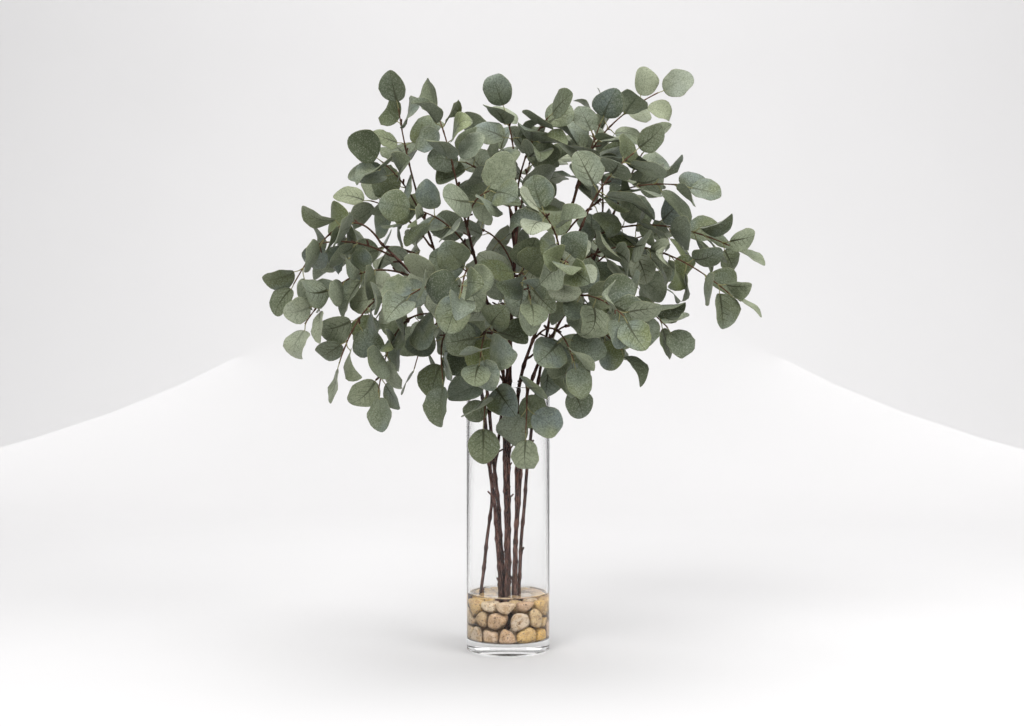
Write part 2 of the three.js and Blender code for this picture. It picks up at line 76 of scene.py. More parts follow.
CLEARANCE = 0.0003
VASE_WALL = 0.004
VASE_BASE = 0.018
INSIDE_RADIUS = VASE_RADIUS - VASE_WALL
STEM = SimpleNamespace(foot=VASE_BASE + 0.004, vase_steps=4, tip_radius=0.0019, taper=1.5)
TWIG = SimpleNamespace(base_radius=0.0016, tip_radius=0.0009, step=0.036, standoff=0.001, bend_at=0.5)
LEAF = SimpleNamespace(first_at=0.042, spacing=0.026, width=0.057, tip_shrink=0.2, stalk=0.013)

# Where the leaves of a shoot sit, as shares of its length or of the spacing.
PLACES = SimpleNamespace(latest_first=0.4, last=0.94, tip=0.98, pair_jitter=0.3, leaf_jitter=0.03)

# How the leaves turn, in radians. They face up their twig, upwards, out from the vase's axis and a little to
# the front.
ANGLES = SimpleNamespace(
    pair_turn_spread=1,
    leaf_turn_spread=0.5,
    roll_spread=1.3,
    low_opening=1.25,
    high_opening=0.8,
    opening_spread=0.3,
    tip_opening=0.25,
    sag=0.12,
    facing=Vector((0, -0.45, 0.3)),
    outwards=0.45,
)

# How the leaves vary in width, and in length over width. A few are narrow and long.
SIZES = SimpleNamespace(
    width=(0.86, 1.1),
    ratio=(0.94, 1.12),
    tip_width=(0.9, 1.15),
    tip_ratio=(1, 1.2),
    long_share=0.12,
    long_width=0.8,
    long_ratio=1.5,
)

# The room each leaf needs, and how it is turned and shrunk to find that room.
ROOM = SimpleNamespace(
    leaf_gap=0.0024, stem_gap=0.005, glass_gap=0.003, stem_steps=4, tries=14, swing=0.3, shrink=0.02
)
TINY = 1e-9

# Every stem has its foot on the base, bows out to cross the rim, and passes three points in the crown. Its
# shoots are (from, tip, arch). "from" counts crown points, with 0 at the rim and 3 at the stem's end.
# "arch" lifts the middle of the shoot, as a share of its length.
STEMS = [
    SimpleNamespace(
        name="middle", radius=0.0043, bow=1.7, foot=(0, 0.002), rim=(0.002, 0.004),
        crown=[(0.005, 0, 0.52), (0.012, -0.008, 0.64), (0.01, -0.01, 0.735)],
        shoots=[
            (3, (-0.004, -0.015, 0.818), 0), (2.6, (0.06, -0.06, 0.808), 0.05),
            (2.2, (-0.064, -0.044, 0.742), 0.05), (1.9, (0.04, 0.09, 0.77), 0),
            (1.1, (0.032, -0.19, 0.54), 0.1),
        ],
    ),
    SimpleNamespace(
        name="left_front", radius=0.0041, bow=1.7, foot=(-0.002, -0.012), rim=(-0.006, -0.03),
        crown=[(-0.022, -0.055, 0.5), (-0.05, -0.075, 0.6), (-0.072, -0.075, 0.69)],
        shoots=[
            (3, (-0.104, -0.06, 0.81), 0.12), (2.5, (-0.026, -0.13, 0.696), 0),
            (2.1, (-0.132, -0.125, 0.668), 0.03), (1.6, (-0.066, -0.205, 0.548), 0.1),
            (1.2, (-0.14, -0.185, 0.545), 0.1), (0.7, (-0.04, -0.185, 0.452), 0.15),
            (0.15, (-0.036, -0.09, 0.356), 0.22),
        ],
    ),
    SimpleNamespace(
        name="left", radius=0.004, bow=1.7, foot=(-0.01, -0.004), rim=(-0.044, -0.016),
        crown=[(-0.082, -0.038, 0.49), (-0.14, -0.055, 0.57), (-0.19, -0.06, 0.622)],
        shoots=[
            (3, (-0.318, -0.075, 0.56), 0.2), (2.6, (-0.286, -0.03, 0.62), 0.03),
            (2.1, (-0.298, -0.11, 0.502), 0.08), (1.7, (-0.248, -0.11, 0.444), 0.12),
            (1.3, (-0.19, -0.12, 0.402), 0.1), (0.9, (-0.096, -0.105, 0.42), 0.2),
        ],
    ),
    SimpleNamespace(
        name="left_back", radius=0.0038, bow=1.7, foot=(-0.006, 0.01), rim=(-0.036, 0.008),
        crown=[(-0.07, 0.035, 0.5), (-0.11, 0.045, 0.6), (-0.14, 0.03, 0.7)],
        shoots=[
            (3, (-0.166, 0, 0.826), 0.03), (2.6, (-0.19, -0.02, 0.744), 0.05),
            (2.2, (-0.212, 0.05, 0.688), 0.05), (1.8, (-0.25, 0.11, 0.6), 0.08),
            (1.4, (-0.21, 0.14, 0.505), 0.1), (0.9, (-0.15, 0.15, 0.424), 0.12),
        ],
    ),
    SimpleNamespace(
        name="back", radius=0.0032, bow=1, foot=(-0.05, 0.006), rim=(-0.004, 0.038),
        crown=[(0.005, 0.075, 0.5), (0.01, 0.105, 0.6), (0, 0.115, 0.7)],
        shoots=[
            (3, (-0.03, 0.11, 0.782), 0), (2.4, (0.07, 0.15, 0.755), 0.03),
            (1.9, (-0.08, 0.21, 0.65), 0.06), (1.5, (0.06, 0.24, 0.58), 0.1),
            (1.0, (-0.04, 0.24, 0.48), 0.12),
        ],
    ),
    SimpleNamespace(
        name="right_front", radius=0.004, bow=1, foot=(0.009, -0.008), rim=(0.016, -0.038),
        crown=[(0.04, -0.075, 0.485), (0.075, -0.1, 0.57), (0.11, -0.105, 0.65)],
        shoots=[
            (3, (0.184, -0.11, 0.752), 0.05), (2.1, (0.048, -0.17, 0.664), 0.03),
            (1.8, (0.08, -0.23, 0.59), 0.06), (1.4, (0.165, -0.2, 0.515), 0.1),
            (1.0, (0.095, -0.165, 0.45), 0.15), (0.6, (0.092, -0.084, 0.412), 0.3),
            (0.1, (0.026, -0.094, 0.34), 0.22),
        ],
    ),
    SimpleNamespace(
        name="right", radius=0.0033, bow=1.7, foot=(0.015, 0.003), rim=(0.044, -0.012),
        crown=[(0.062, -0.012, 0.5), (0.08, -0.008, 0.61), (0.105, -0.005, 0.71)],
        shoots=[
            (3, (0.226, -0.015, 0.848), 0), (2.7, (0.138, -0.045, 0.8), 0),
            (2.3, (0.264, -0.06, 0.706), 0.05), (1.9, (0.34, -0.04, 0.614), 0.02),
            (1.6, (0.328, -0.09, 0.545), 0.1), (1.2, (0.236, -0.09, 0.496), 0.1),
            (0.8, (0.17, -0.066, 0.462), 0.1),
        ],
    ),
    SimpleNamespace(
        name="right_back", radius=0.0039, bow=1.7, foot=(0.007, 0.013), rim=(0.034, 0.024),
        crown=[(0.075, 0.05, 0.49), (0.125, 0.075, 0.58), (0.165, 0.08, 0.67)],
        shoots=[
            (3, (0.208, 0.06, 0.762), 0.03), (2.5, (0.13, 0.09, 0.8), 0),
            (2.1, (0.27, 0.09, 0.64), 0.05), (1.7, (0.24, 0.15, 0.56), 0.1),
            (1.3, (0.165, 0.155, 0.482), 0.12), (1.5, (0.14, 0.22, 0.6), 0.06),
        ],
    ),
]

# ---------------------------------------------------------------- small helpers

UP = Vector((0, 0, 1))


def mix(a, b, share):
    return a + (b - a) * share


def ramp(low, high, value):
    """0 below low, 1 above high, and an even slope between."""
    return min(max((value - low) / (high - low), 0), 1)


def around(angle, radius, height=0):
    """A point at an angle about the Z axis."""
    return Vector((radius * math.cos(angle), radius * math.sin(angle), height))


def random_stream(seed):
    """A repeatable stream of numbers from 0 to 1."""
    state = ((seed + 1) * 2654435761 + 97) & 0xFFFFFFFF

    def draw():
        nonlocal state
        state = (state * 1664525 + 1013904223) & 0xFFFFFFFF
        return state / 4294967296

    return draw


def evenly(count, point_at):
    return [point_at(i / count) for i in range(count + 1)]


# ---------------------------------------------------------------- paths of the stems and shoots


def stem_waypoints(stem):
    """Up the vase, leaning out more and more by the stem's bow, then into the crown."""
    points = []
    for i in range(STEM.vase_steps + 1):
        share = i / STEM.vase_steps
        lean = share**stem.bow
        x = mix(stem.foot[0], stem.rim[0], lean)
        y = mix(stem.foot[1], stem.rim[1], lean)
        points.append(Vector((x, y, mix(STEM.foot, VASE_HEIGHT, share))))
    return points + [Vector(point) for point in stem.crown]


def smooth_step(start, leave, end, arrive, f):
    """A point at f from 0 to 1 on a curve that leaves start and arrives at end in given directions."""
    return (
        start * (2 * f**3 - 3 * f**2 + 1)
        + leave * (f**3 - 2 * f**2 + f)
        + end * (3 * f**2 - 2 * f**3)
        + arrive * (f**3 - f**2)
    )


def path_point(waypoints, u):
    """A smooth curve through the waypoints, where u counts waypoints."""
    i = min(math.floor(u), len(waypoints) - 2)
    start = waypoints[i]
    end = waypoints[i + 1]
    before = waypoints[i - 1] if i > 0 else start
    after = waypoints[i + 2] if i + 2 < len(waypoints) else end
    return smooth_step(start, (end - before) * 0.5, end, (after - start) * 0.5, u - i)


def path_direction(waypoints, u):
    """The way a stem points at u."""
    step = 0.01
    start = min(u, len(waypoints) - 1 - step)
    return (path_point(waypoints, start + step) - path_point(waypoints, start)).normalized()


def stem_radius(stem, u):
    length = STEM.vase_steps + len(stem.crown)
    return mix(stem.radius, STEM.tip_radius, (u / length) ** STEM.taper)


def shoot_curve(stem, waypoints, plan):
    """A shoot's curve: it leaves beside the stem, half turned from the stem's way to its own tip."""
    start, tip_place, arch = plan
    u = STEM.vase_steps + start
    tip = Vector(tip_place)
    centre = path_point(waypoints, u)
    stem_way = path_direction(waypoints, u)
    reach = tip - centre
    length = reach.length
    way = (stem_way + reach / length).normalized()
    at_end = start == len(stem.crown)
    outwards = stem_way if at_end else (way - stem_way * way.dot(stem_way)).normalized()
    offset = 2 * CLEARANCE if at_end else stem_radius(stem, u) + TWIG.base_radius + TWIG.standoff
    base = centre + outwards * offset
    bend = base + (stem_way if at_end else way) * (TWIG.bend_at * length)
    bend.z += arch * length
    return SimpleNamespace(base=base, bend=bend, tip=tip, length=length, centre=centre, stem_way=stem_way)


def shoot_point(curve, s):
    """A point of a shoot, with s from 0 at its base to 1 at its tip."""
    return curve.base * (1 - s) ** 2 + curve.bend * (2 * s * (1 - s)) + curve.tip * s**2


def shoot_direction(curve, s):
    return ((curve.bend - curve.base) * (1 - s) + (curve.tip - curve.bend) * s).normalized()


def twig_row(curve):
    """The CAD twig's centres: the curve as a row of straight steps."""
    return evenly(math.ceil(curve.length / TWIG.step), lambda s: shoot_point(curve, s))


def row_point(row, s):
    """A point on a row of straight steps, with s from 0 to 1."""
    steps = len(row) - 1
    i = min(math.floor(s * steps), steps - 1)
    return row[i].lerp(row[i + 1], s * steps - i)


# ---------------------------------------------------------------- places of the leaves

# The corners of the CAD leaf's outline, the two at its stalk first and last.
BLADE_TURNS = [math.radians(degrees) for degrees in (172, 116, 58, 0, -58, -116, -172)]


def blade_corners(leaf):
    return [
        leaf.centre
        + leaf.along * (leaf.length / 2 * math.cos(turn))
        + leaf.side * (leaf.width / 2 * math.sin(turn))
        for turn in BLADE_TURNS
    ]


def line_meets_blade(p, q, leaf, gap):
    """Whether a straight line from p to q comes nearer to a leaf's blade than the gap."""
    from_centre = p - leaf.centre
    way = q - p
    height = from_centre.dot(leaf.normal)
    rise = way.dot(leaf.normal)
    first = 0
    last = 1
    if abs(rise) > TINY:
        low = (-gap - height) / rise
        high = (gap - height) / rise
        first = max(first, min(low, high))
        last = min(last, max(low, high))
    elif abs(height) > gap:
        return False
    if first > last:
        return False
    x = from_centre.dot(leaf.along) / (leaf.length / 2 + gap)
    y = from_centre.dot(leaf.side) / (leaf.width / 2 + gap)
    dx = way.dot(leaf.along) / (leaf.length / 2 + gap)
    dy = way.dot(leaf.side) / (leaf.width / 2 + gap)
    size = dx * dx + dy * dy
    nearest = -(x * dx + y * dy) / size if size > 0 else first
    s = min(max(nearest, first), last)
    return (x + s * dx) ** 2 + (y + s * dy) ** 2 < 1


def edges_meet_blade(leaf, other):
    if line_meets_blade(leaf.root, leaf.corners[0], other, ROOM.leaf_gap):
        return True
    ring = zip(leaf.corners, leaf.corners[1:] + leaf.corners[:1])
    return any(line_meets_blade(p, q, other, ROOM.leaf_gap) for p, q in ring)


def leaves_meet(a, b):
    if (a.centre - b.centre).length > a.reach + b.reach:
        return False
    return edges_meet_blade(a, b) or edges_meet_blade(b, a)


def crosses_row(leaf, row, gap):
    """Whether a leaf crosses a row of thin round segments."""
    for start, end in zip(row, row[1:]):
        near = (end - leaf.centre).length <= leaf.reach + (end - start).length
        if near and line_meets_blade(start, end, leaf, gap):
            return True
    return False


def meets_vase(leaf):
    """Whether a leaf comes too near the glass: below the rim it hangs either inside or outside it."""
    low = [point for point in [leaf.centre, *leaf.corners] if point.z < VASE_HEIGHT + ROOM.glass_gap]
    distances = [math.hypot(point.x, point.y) for point in low]
    inside = sum(distance < INSIDE_RADIUS - ROOM.glass_gap for distance in distances)
    outside = sum(distance > VASE_RADIUS + ROOM.glass_gap for distance in distances)
    return inside < len(low) and outside < len(low)


def place_leaf(place, turn, width):
    """A leaf on a shoot, turned about the twig by turn and rolled about its own stalk by place.roll."""
    way = shoot_direction(place.curve, place.s)
    level = way.cross(UP).normalized()
    upper = level.cross(way)
    spoke = level * math.cos(turn) + upper * math.sin(turn)
    along = way * math.cos(place.opening) + spoke * math.sin(place.opening)
    along.z -= ANGLES.sag
    along.normalize()
    root = row_point(twig_row(place.curve), place.s)
    outwards = Vector((root.x, root.y, 0)).normalized()
    face = way + ANGLES.facing + outwards * ANGLES.outwards
    flat = (face - along * face.dot(along)).normalized()
    normal = flat * math.cos(place.roll) + flat.cross(along) * math.sin(place.roll)
    length = width * place.ratio
    leaf = SimpleNamespace(
        curve=place.curve,
        s=place.s,
        root=root,
        along=along,
        normal=normal,
        side=normal.cross(along),
        width=width,
        length=length,
        centre=root + along * (LEAF.stalk + length / 2),
        reach=max(width, length) / 2 + LEAF.stalk + ROOM.leaf_gap,
    )
    leaf.corners = blade_corners(leaf)
    return leaf


def grow_leaf(place, is_clear):
    """Tries a leaf at several turns about its twig, smaller each time, and gives the first that is clear."""
    for i in range(ROOM.tries):
        swing = (-1 if i % 2 else 1) * math.ceil(i / 2) * ROOM.swing
        leaf = place_leaf(place, place.turn + swing, place.width * (1 - ROOM.shrink * i))
        if is_clear(leaf):
            return leaf
    return None


def leaf_places(curve, draw):
    """Where a shoot's leaves want to be: opposite pairs, each crosswise to the last, and one at the tip."""

    def spread(size):
        return size * (draw() - 0.5)

    def between(limits):
        return mix(*limits, draw())

    places = []
    first_at = min(LEAF.first_at, PLACES.latest_first * curve.length)
    pairs = max(1, math.floor((curve.length - first_at) / LEAF.spacing + 0.5))
    turn = draw() * math.pi
    for i in range(pairs):
        s = (first_at + (i + PLACES.pair_jitter * draw()) * LEAF.spacing) / curve.length
        shrink = 1 - LEAF.tip_shrink * s**2
        turn += math.pi / 2 + spread(ANGLES.pair_turn_spread)
        for half in (0, math.pi):
            long = draw() < SIZES.long_share
            place = SimpleNamespace(curve=curve)
            place.s = min(s + PLACES.leaf_jitter * draw(), PLACES.last)
            place.turn = turn + half + spread(ANGLES.leaf_turn_spread)
            place.roll = spread(ANGLES.roll_spread)
            place.opening = mix(ANGLES.low_opening, ANGLES.high_opening, s) + spread(ANGLES.opening_spread)
            place.width = LEAF.width * shrink * between(SIZES.width) * (SIZES.long_width if long else 1)
            place.ratio = SIZES.long_ratio if long else between(SIZES.ratio)
            places.append(place)
    tip = SimpleNamespace(curve=curve, s=PLACES.tip, turn=turn)
    tip.roll = spread(ANGLES.roll_spread)
    tip.opening = ANGLES.tip_opening * draw()
    tip.width = LEAF.width * (1 - LEAF.tip_shrink) * between(SIZES.tip_width)
    tip.ratio = between(SIZES.tip_ratio)
    return places + [tip]


def grow_shoots():
    """All the shoots with their leaves, each leaf clear of the wood, the glass and every leaf before it."""
    stem_rows = []
    shoots = []
    for stem in STEMS:
        waypoints = stem_waypoints(stem)
        gaps = len(waypoints) - 1
        stem_rows.append(evenly(ROOM.stem_steps * gaps, lambda share: path_point(waypoints, share * gaps)))
        for i, plan in enumerate(stem.shoots):
            curve = shoot_curve(stem, waypoints, plan)
            name = f"{stem.name}_{i + 1}"
            shoots.append(SimpleNamespace(stem=stem, name=name, curve=curve, row=twig_row(curve), leaves=[]))
    for number, shoot in enumerate(shoots):
        others = [other for other in shoots if other is not shoot]

        def is_clear(leaf):
            if meets_vase(leaf):
                return False
            if any(crosses_row(leaf, row, ROOM.stem_gap) for row in stem_rows):
                return False
            if any(crosses_row(leaf, other.row, ROOM.leaf_gap) for other in others):
                return False
            return not any(leaves_meet(leaf, grown) for other in shoots for grown in other.leaves)

        for place in leaf_places(shoot.curve, random_stream(number)):
            leaf = grow_leaf(place, is_clear)
            if leaf:
                shoot.leaves.append(leaf)
    return shoots

# ---------------------------------------------------------------- meshes

SHARP_ANGLE = math.radians(50)


class Form:
    """The points and faces of one piece, with named values at each point for its material."""

    def __init__(self, *value_names):
        self.points = []
        self.faces = []
        self.values = {name: [] for name in value_names}

    def add(self, point, **values):
        self.points.append(point)
        for name, row in self.values.items():
            row.append(values[name])
        return len(self.points) - 1

    def skin(self, rings, start, end):
        """Joins rings of points with faces, and closes them about a point at each end."""
        count = len(rings[0])
        for k in range(count):
            n = (k + 1) % count
            for low, high in zip(rings, rings[1:]):
                self.faces.append((low[k], low[n], high[n], high[k]))
            self.faces.append((start, rings[0][n], rings[0][k]))
            self.faces.append((end, rings[-1][k], rings[-1][n]))

    def piece(self, name, material, slot, *nodes):
        """Makes the piece, which takes its finish from the material and stands for the CAD nodes. The slot
        argument is not used.
        """
        mesh = bpy.data.meshes.new(name)
        mesh.from_pydata(self.points, [], self.faces)
        for value_name, row in self.values.items():
            attribute = mesh.attributes.new(value_name, "FLOAT_VECTOR", "POINT")
            attribute.data.foreach_set("vector", [number for value in row for number in value])
        mesh.polygons.foreach_set("use_smooth", [True] * len(mesh.polygons))
        mesh.materials.append(material)
        piece = bpy.data.objects.new(name, mesh)
        bpy.context.scene.collection.objects.link(piece)
        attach(piece, "root")
        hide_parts(*nodes)
        return piece


def full_turn(count):
    """Even angles once around."""
    return [2 * math.pi * k / count for k in range(count)]


def add_tube(form, centres, radii, sides, values_at, start_side=Vector((1, 0, 0))):
    """A closed tube along a row of centres. radii holds one radius per ring, or one per side of each ring.
    values_at(ring, angle) gives the named values of a point."""
    across = start_side
    rings = []
    for i, centre in enumerate(centres):
        before = centres[max(i - 1, 0)]
        after = centres[min(i + 1, len(centres) - 1)]
        along = (after - before).normalized()
        across = (across - along * across.dot(along)).normalized()
        upper = along.cross(across)
        ring = []
        for k, angle in enumerate(full_turn(sides)):
            radius = radii[i][k] if isinstance(radii[i], list) else radii[i]
            point = centre + across * (radius * math.cos(angle)) + upper * (radius * math.sin(angle))
            ring.append(form.add(point, **values_at(i, angle)))
        rings.append(ring)
    start = form.add(centres[0], **values_at(0, 0))
    end = form.add(centres[-1], **values_at(len(centres) - 1, 0))
    form.skin(rings, start, end)


def turned_piece(name, profile, sides, material, slot, *nodes):
    """A round closed piece about the Z axis, from (radius, height) pairs that run from axis to axis."""
    form = Form()
    start = form.add(Vector((0, 0, profile[0][1])))
    rings = [[form.add(around(angle, *pair)) for angle in full_turn(sides)] for pair in profile[1:-1]]
    form.skin(rings, start, form.add(Vector((0, 0, profile[-1][1]))))
    piece = form.piece(name, material, slot, *nodes)
    piece.data.set_sharp_from_angle(angle=SHARP_ANGLE)
    return piece


def rounded_corner(centre, radius, start_degrees, end_degrees, steps=5):
    """The (radius, height) pairs of a rounded corner in a turned profile."""
    pairs = []
    for i in range(steps + 1):
        angle = math.radians(mix(start_degrees, end_degrees, i / steps))
        pairs.append((centre[0] + radius * math.cos(angle), centre[1] + radius * math.sin(angle)))
    return pairs
# ---------------------------------------------------------------- materials

LEAF_COLOURS = SimpleNamespace(
    dark=(0.044, 0.058, 0.028),
    light=(0.370, 0.410, 0.288),
    warm=(0.170, 0.198, 0.070),
    bloom=(0.172, 0.212, 0.200),
    mottle=(0.085, 0.108, 0.055),
    pale=(0.43, 0.46, 0.33),
    underside=(0.235, 0.262, 0.190),
    speck=(0.38, 0.405, 0.32),
    pore=(0.045, 0.058, 0.025),
    vein=(0.040, 0.043, 0.018),
    rim=(0.30, 0.30, 0.16),
    stalk_dark=(0.20, 0.20, 0.075),
    stalk_light=(0.29, 0.27, 0.13),
)
BARK_COLOURS = SimpleNamespace(
    crack=(0.005, 0.002, 0.0015),
    bark=(0.084, 0.032, 0.024),
    ridge=(0.205, 0.108, 0.088),
    red_patch=(0.085, 0.034, 0.020),
    grey_foot=(0.120, 0.092, 0.076),
    twig_dark=(0.022, 0.011, 0.007),
    twig_light=(0.115, 0.058, 0.034),
    twig_end=(0.150, 0.082, 0.050),
)
STONE_COLOURS = SimpleNamespace(
    beige=(0.42, 0.30, 0.155),
    gold=(0.56, 0.33, 0.065),
    pink=(0.42, 0.275, 0.175),
    light=(0.50, 0.42, 0.32),
    cloud=(0.31, 0.185, 0.08),
    grain=(0.60, 0.50, 0.36),
    pit=(0.095, 0.052, 0.024),
)


class Graph:
    """The shader nodes of a material or of the world."""

    def __init__(self, owner):
        owner.use_nodes = True
        self.nodes = owner.node_tree.nodes
        self.links = owner.node_tree.links

    def feed(self, socket, value):
        """Gives an input a number, a vector, a colour without its alpha, or another node's output."""
        if isinstance(value, bpy.types.NodeSocket):
            self.links.new(value, socket)
        else:
            socket.default_value = (*value, 1.0) if socket.type == "RGBA" else value

    def node(self, kind, inputs=(), **settings):
        node = self.nodes.new(kind)
        for name, value in settings.items():
            setattr(node, name, value)
        for name, value in dict(inputs).items():
            self.feed(node.inputs[name], value)
        return node

    def math(self, operation, a, b=0.0):
        return self.node("ShaderNodeMath", {0: a, 1: b}, operation=operation).outputs[0]

    def times(self, a, b):
        return self.math("MULTIPLY", a, b)


class Shader(Graph):
    """A node material that ends in one Principled shader."""

    def __init__(self, name):
        self.material = bpy.data.materials.new(name)
        super().__init__(self.material)
        self.principled = self.nodes["Principled BSDF"]

    def set(self, **inputs):
        """Sets the Principled shader's inputs, with _ for a space in their names."""
        for name, value in inputs.items():
            self.feed(self.principled.inputs[name.replace("_", " ")], value)

    def vector(self, name):
        """What a piece stores at each point under a name."""
        return self.node("ShaderNodeAttribute", attribute_name=name).outputs["Vector"]

    def numbers(self, name):
        """The same as three numbers."""
        return self.node("ShaderNodeSeparateXYZ", {"Vector": self.vector(name)}).outputs.values()

    def position(self):
        return self.node("ShaderNodeTexCoord").outputs["Object"]

    def band(self, value, start, end, low=0.0, high=1.0):
        """Maps a value from start..end to low..high, with soft ends."""
        inputs = {"Value": value, "From Min": start, "From Max": end, "To Min": low, "To Max": high}
        return self.node("ShaderNodeMapRange", inputs, interpolation_type="SMOOTHSTEP").outputs["Result"]

    def blend(self, share, a, b):
        """Goes from colour a to colour b with the share."""
        return self.node("ShaderNodeMix", {"Factor": share, 6: a, 7: b}, data_type="RGBA").outputs[2]

    def cover(self, base, *layers):
        """Covers a base colour with layers, each a share and a colour."""
        for share, tint in layers:
            base = self.blend(share, base, tint)
        return base

    def noise(self, place, scale, detail=3.0, roughness=0.55):
        inputs = {"Vector": place, "Scale": scale, "Detail": detail, "Roughness": roughness}
        return self.node("ShaderNodeTexNoise", inputs).outputs["Fac"]

    def bump(self, height, strength, distance):
        inputs = {"Height": height, "Strength": strength, "Distance": distance}
        self.set(Normal=self.node("ShaderNodeBump", inputs).outputs["Normal"])


def leaf_lines(shader, along, across, wander):
    """The midrib, and side veins that bend towards the tip and fade out at the edge. 1 is a line's middle."""
    offset = shader.math("ABSOLUTE", across)
    midrib_width = shader.band(along, 0.0, 0.8, 0.085, 0.014)
    midrib = shader.band(shader.math("DIVIDE", offset, midrib_width), 1.6, 0.5)
    curve = shader.times(shader.math("POWER", offset, 1.35), 0.42)
    start = shader.math("ADD", shader.math("SUBTRACT", along, curve), shader.times(wander, 0.22))
    phase = shader.math("FRACT", shader.times(start, 5.5))
    line = shader.math("ABSOLUTE", shader.math("SUBTRACT", phase, 0.5))
    veins = shader.times(shader.band(line, 0.13, 0.03), shader.band(offset, 0.8, 0.2))
    veins = shader.times(veins, shader.band(along, 0.9, 0.6))
    return shader.math("MAXIMUM", midrib, shader.times(veins, 0.7))


def foliage_material():
    """Matt grey-green leaf with a powdery bloom, darker veins and a pale rim."""
    shader = Shader("eucalyptus_leaf")
    along, across, side = shader.numbers("leaf_place")
    tone, warmth, cool = shader.numbers("leaf_tint")
    edge, vein_depth, pale = shader.numbers("leaf_edge")
    place = shader.position()
    speckle = shader.noise(place, 480.0, 3.0, 0.7)
    mottle = shader.noise(place, 55.0, 3.0)
    blotch = shader.noise(place, 18.0, 2.0)
    lines = leaf_lines(shader, along, across, blotch)
    tints = LEAF_COLOURS
    leaf = shader.cover(
        shader.blend(tone, tints.dark, tints.light),
        (warmth, tints.warm),
        (shader.times(shader.band(blotch, 0.35, 0.7), cool), tints.bloom),
        (shader.band(mottle, 0.35, 0.75, 0.0, 0.45), tints.mottle),
        (pale, tints.pale),
        (shader.times(shader.band(side, 0.2, -0.2), 0.5), tints.underside),
        (shader.band(speckle, 0.5, 0.66, 0.0, 0.38), tints.speck),
        (shader.band(speckle, 0.5, 0.36, 0.0, 0.45), tints.pore),
        (shader.times(lines, vein_depth), tints.vein),
        (shader.band(edge, 0.955, 0.995, 0.0, 0.65), tints.rim),
    )
    stalk = shader.blend(shader.noise(place, 120.0), tints.stalk_dark, tints.stalk_light)
    shader.bump(shader.math("SUBTRACT", shader.times(speckle, 0.25), lines), 0.35, 0.0004)
    shader.set(Base_Color=shader.blend(shader.band(along, 0.01, -0.01), leaf, stalk))
    shader.set(Roughness=shader.band(mottle, 0.3, 0.7, 0.5, 0.68), Specular_IOR_Level=0.3)
    shader.set(Sheen_Weight=0.06, Sheen_Roughness=0.5)
    return shader.material


def bark_material():
    """Red-brown bark with fine lengthwise streaks, a little greyer low down, and browner on the twigs."""
    shader = Shader("eucalyptus_bark")
    grain = shader.vector("grain")
    thickness, height, twig = shader.numbers("wood")
    drawn_out = {0: grain, 1: (1.0, 1.0, 0.16)}
    stretched = shader.node("ShaderNodeVectorMath", drawn_out, operation="MULTIPLY").outputs[0]
    streaks = shader.noise(stretched, 900.0, 4.0, 0.65)
    broad = shader.noise(stretched, 300.0, 3.0)
    patches = shader.noise(grain, 60.0, 3.0)
    tints = BARK_COLOURS
    brown_twig = shader.cover(
        shader.blend(streaks, tints.twig_dark, tints.twig_light),
        (shader.band(thickness, 0.0017, 0.0009), tints.twig_end),
    )
    wood = shader.cover(
        shader.blend(shader.band(streaks, 0.42, 0.62), tints.crack, tints.bark),
        (shader.band(broad, 0.52, 0.62, 0.0, 0.7), tints.ridge),
        (shader.band(patches, 0.5, 0.7, 0.0, 0.6), tints.red_patch),
        (shader.band(height, 0.20, 0.09, 0.0, 0.18), tints.grey_foot),
        (shader.times(twig, 0.8), brown_twig),
    )
    shader.bump(shader.math("ADD", streaks, broad), 0.9, 0.001)
    shader.set(Base_Color=wood, Roughness=shader.band(streaks, 0.3, 0.7, 0.6, 0.85))
    shader.set(Specular_IOR_Level=0.2)
    return shader.material


def stone_material():
    """River pebble: beige, gold, grey-pink or pale, mottled and finely pitted."""
    shader = Shader("river_stone")
    gold, pink, light = shader.numbers("stone_tint")
    place = shader.position()
    clouds = shader.noise(place, 110.0, 4.0, 0.6)
    grains = shader.noise(place, 520.0, 3.0, 0.65)
    pits = shader.band(shader.noise(place, 330.0, 2.0, 0.6), 0.43, 0.35)
    tints = STONE_COLOURS
    stone = shader.cover(
        shader.blend(gold, tints.beige, tints.gold),
        (pink, tints.pink),
        (light, tints.light),
        (shader.band(clouds, 0.47, 0.62, 0.0, 0.7), tints.cloud),
        (shader.band(grains, 0.5, 0.65, 0.0, 0.5), tints.grain),
        (shader.times(pits, 0.85), tints.pit),
    )
    shader.bump(shader.math("SUBTRACT", shader.times(grains, 0.3), pits), 0.6, 0.0007)
    shader.set(Base_Color=stone, Roughness=shader.band(clouds, 0.3, 0.7, 0.45, 0.65))
    shader.set(Specular_IOR_Level=0.4)
    return shader.material


def clear_material(name, tint, refraction):
    """Clear glass or water, which lets light through to what stands inside it."""
    shader = Shader(name)
    shader.set(Base_Color=tint, Roughness=0.0, IOR=refraction, Transmission_Weight=1.0)
    shader.set(Specular_Tint=(0.3, 0.3, 0.3))
    see_through = shader.node("ShaderNodeBsdfTransparent", {"Color": tint}).outputs[0]
    shadow = shader.node("ShaderNodeLightPath").outputs["Is Shadow Ray"]
    parts = {0: shadow, 1: shader.principled.outputs[0], 2: see_through}
    both = shader.node("ShaderNodeMixShader", parts).outputs[0]
    shader.feed(shader.nodes["Material Output"].inputs["Surface"], both)
    return shader.material


def studio_material(name, paper):
    """Plain pale paper, a little uneven."""
    shader = Shader(name)
    uneven = shader.band(shader.noise(shader.position(), 1.5), 0.3, 0.7)
    darker = [0.985 * channel for channel in paper]
    shader.set(Base_Color=shader.blend(uneven, paper, darker), Roughness=0.9, Specular_IOR_Level=0.1)
    return shader.material

# ---------------------------------------------------------------- leaves

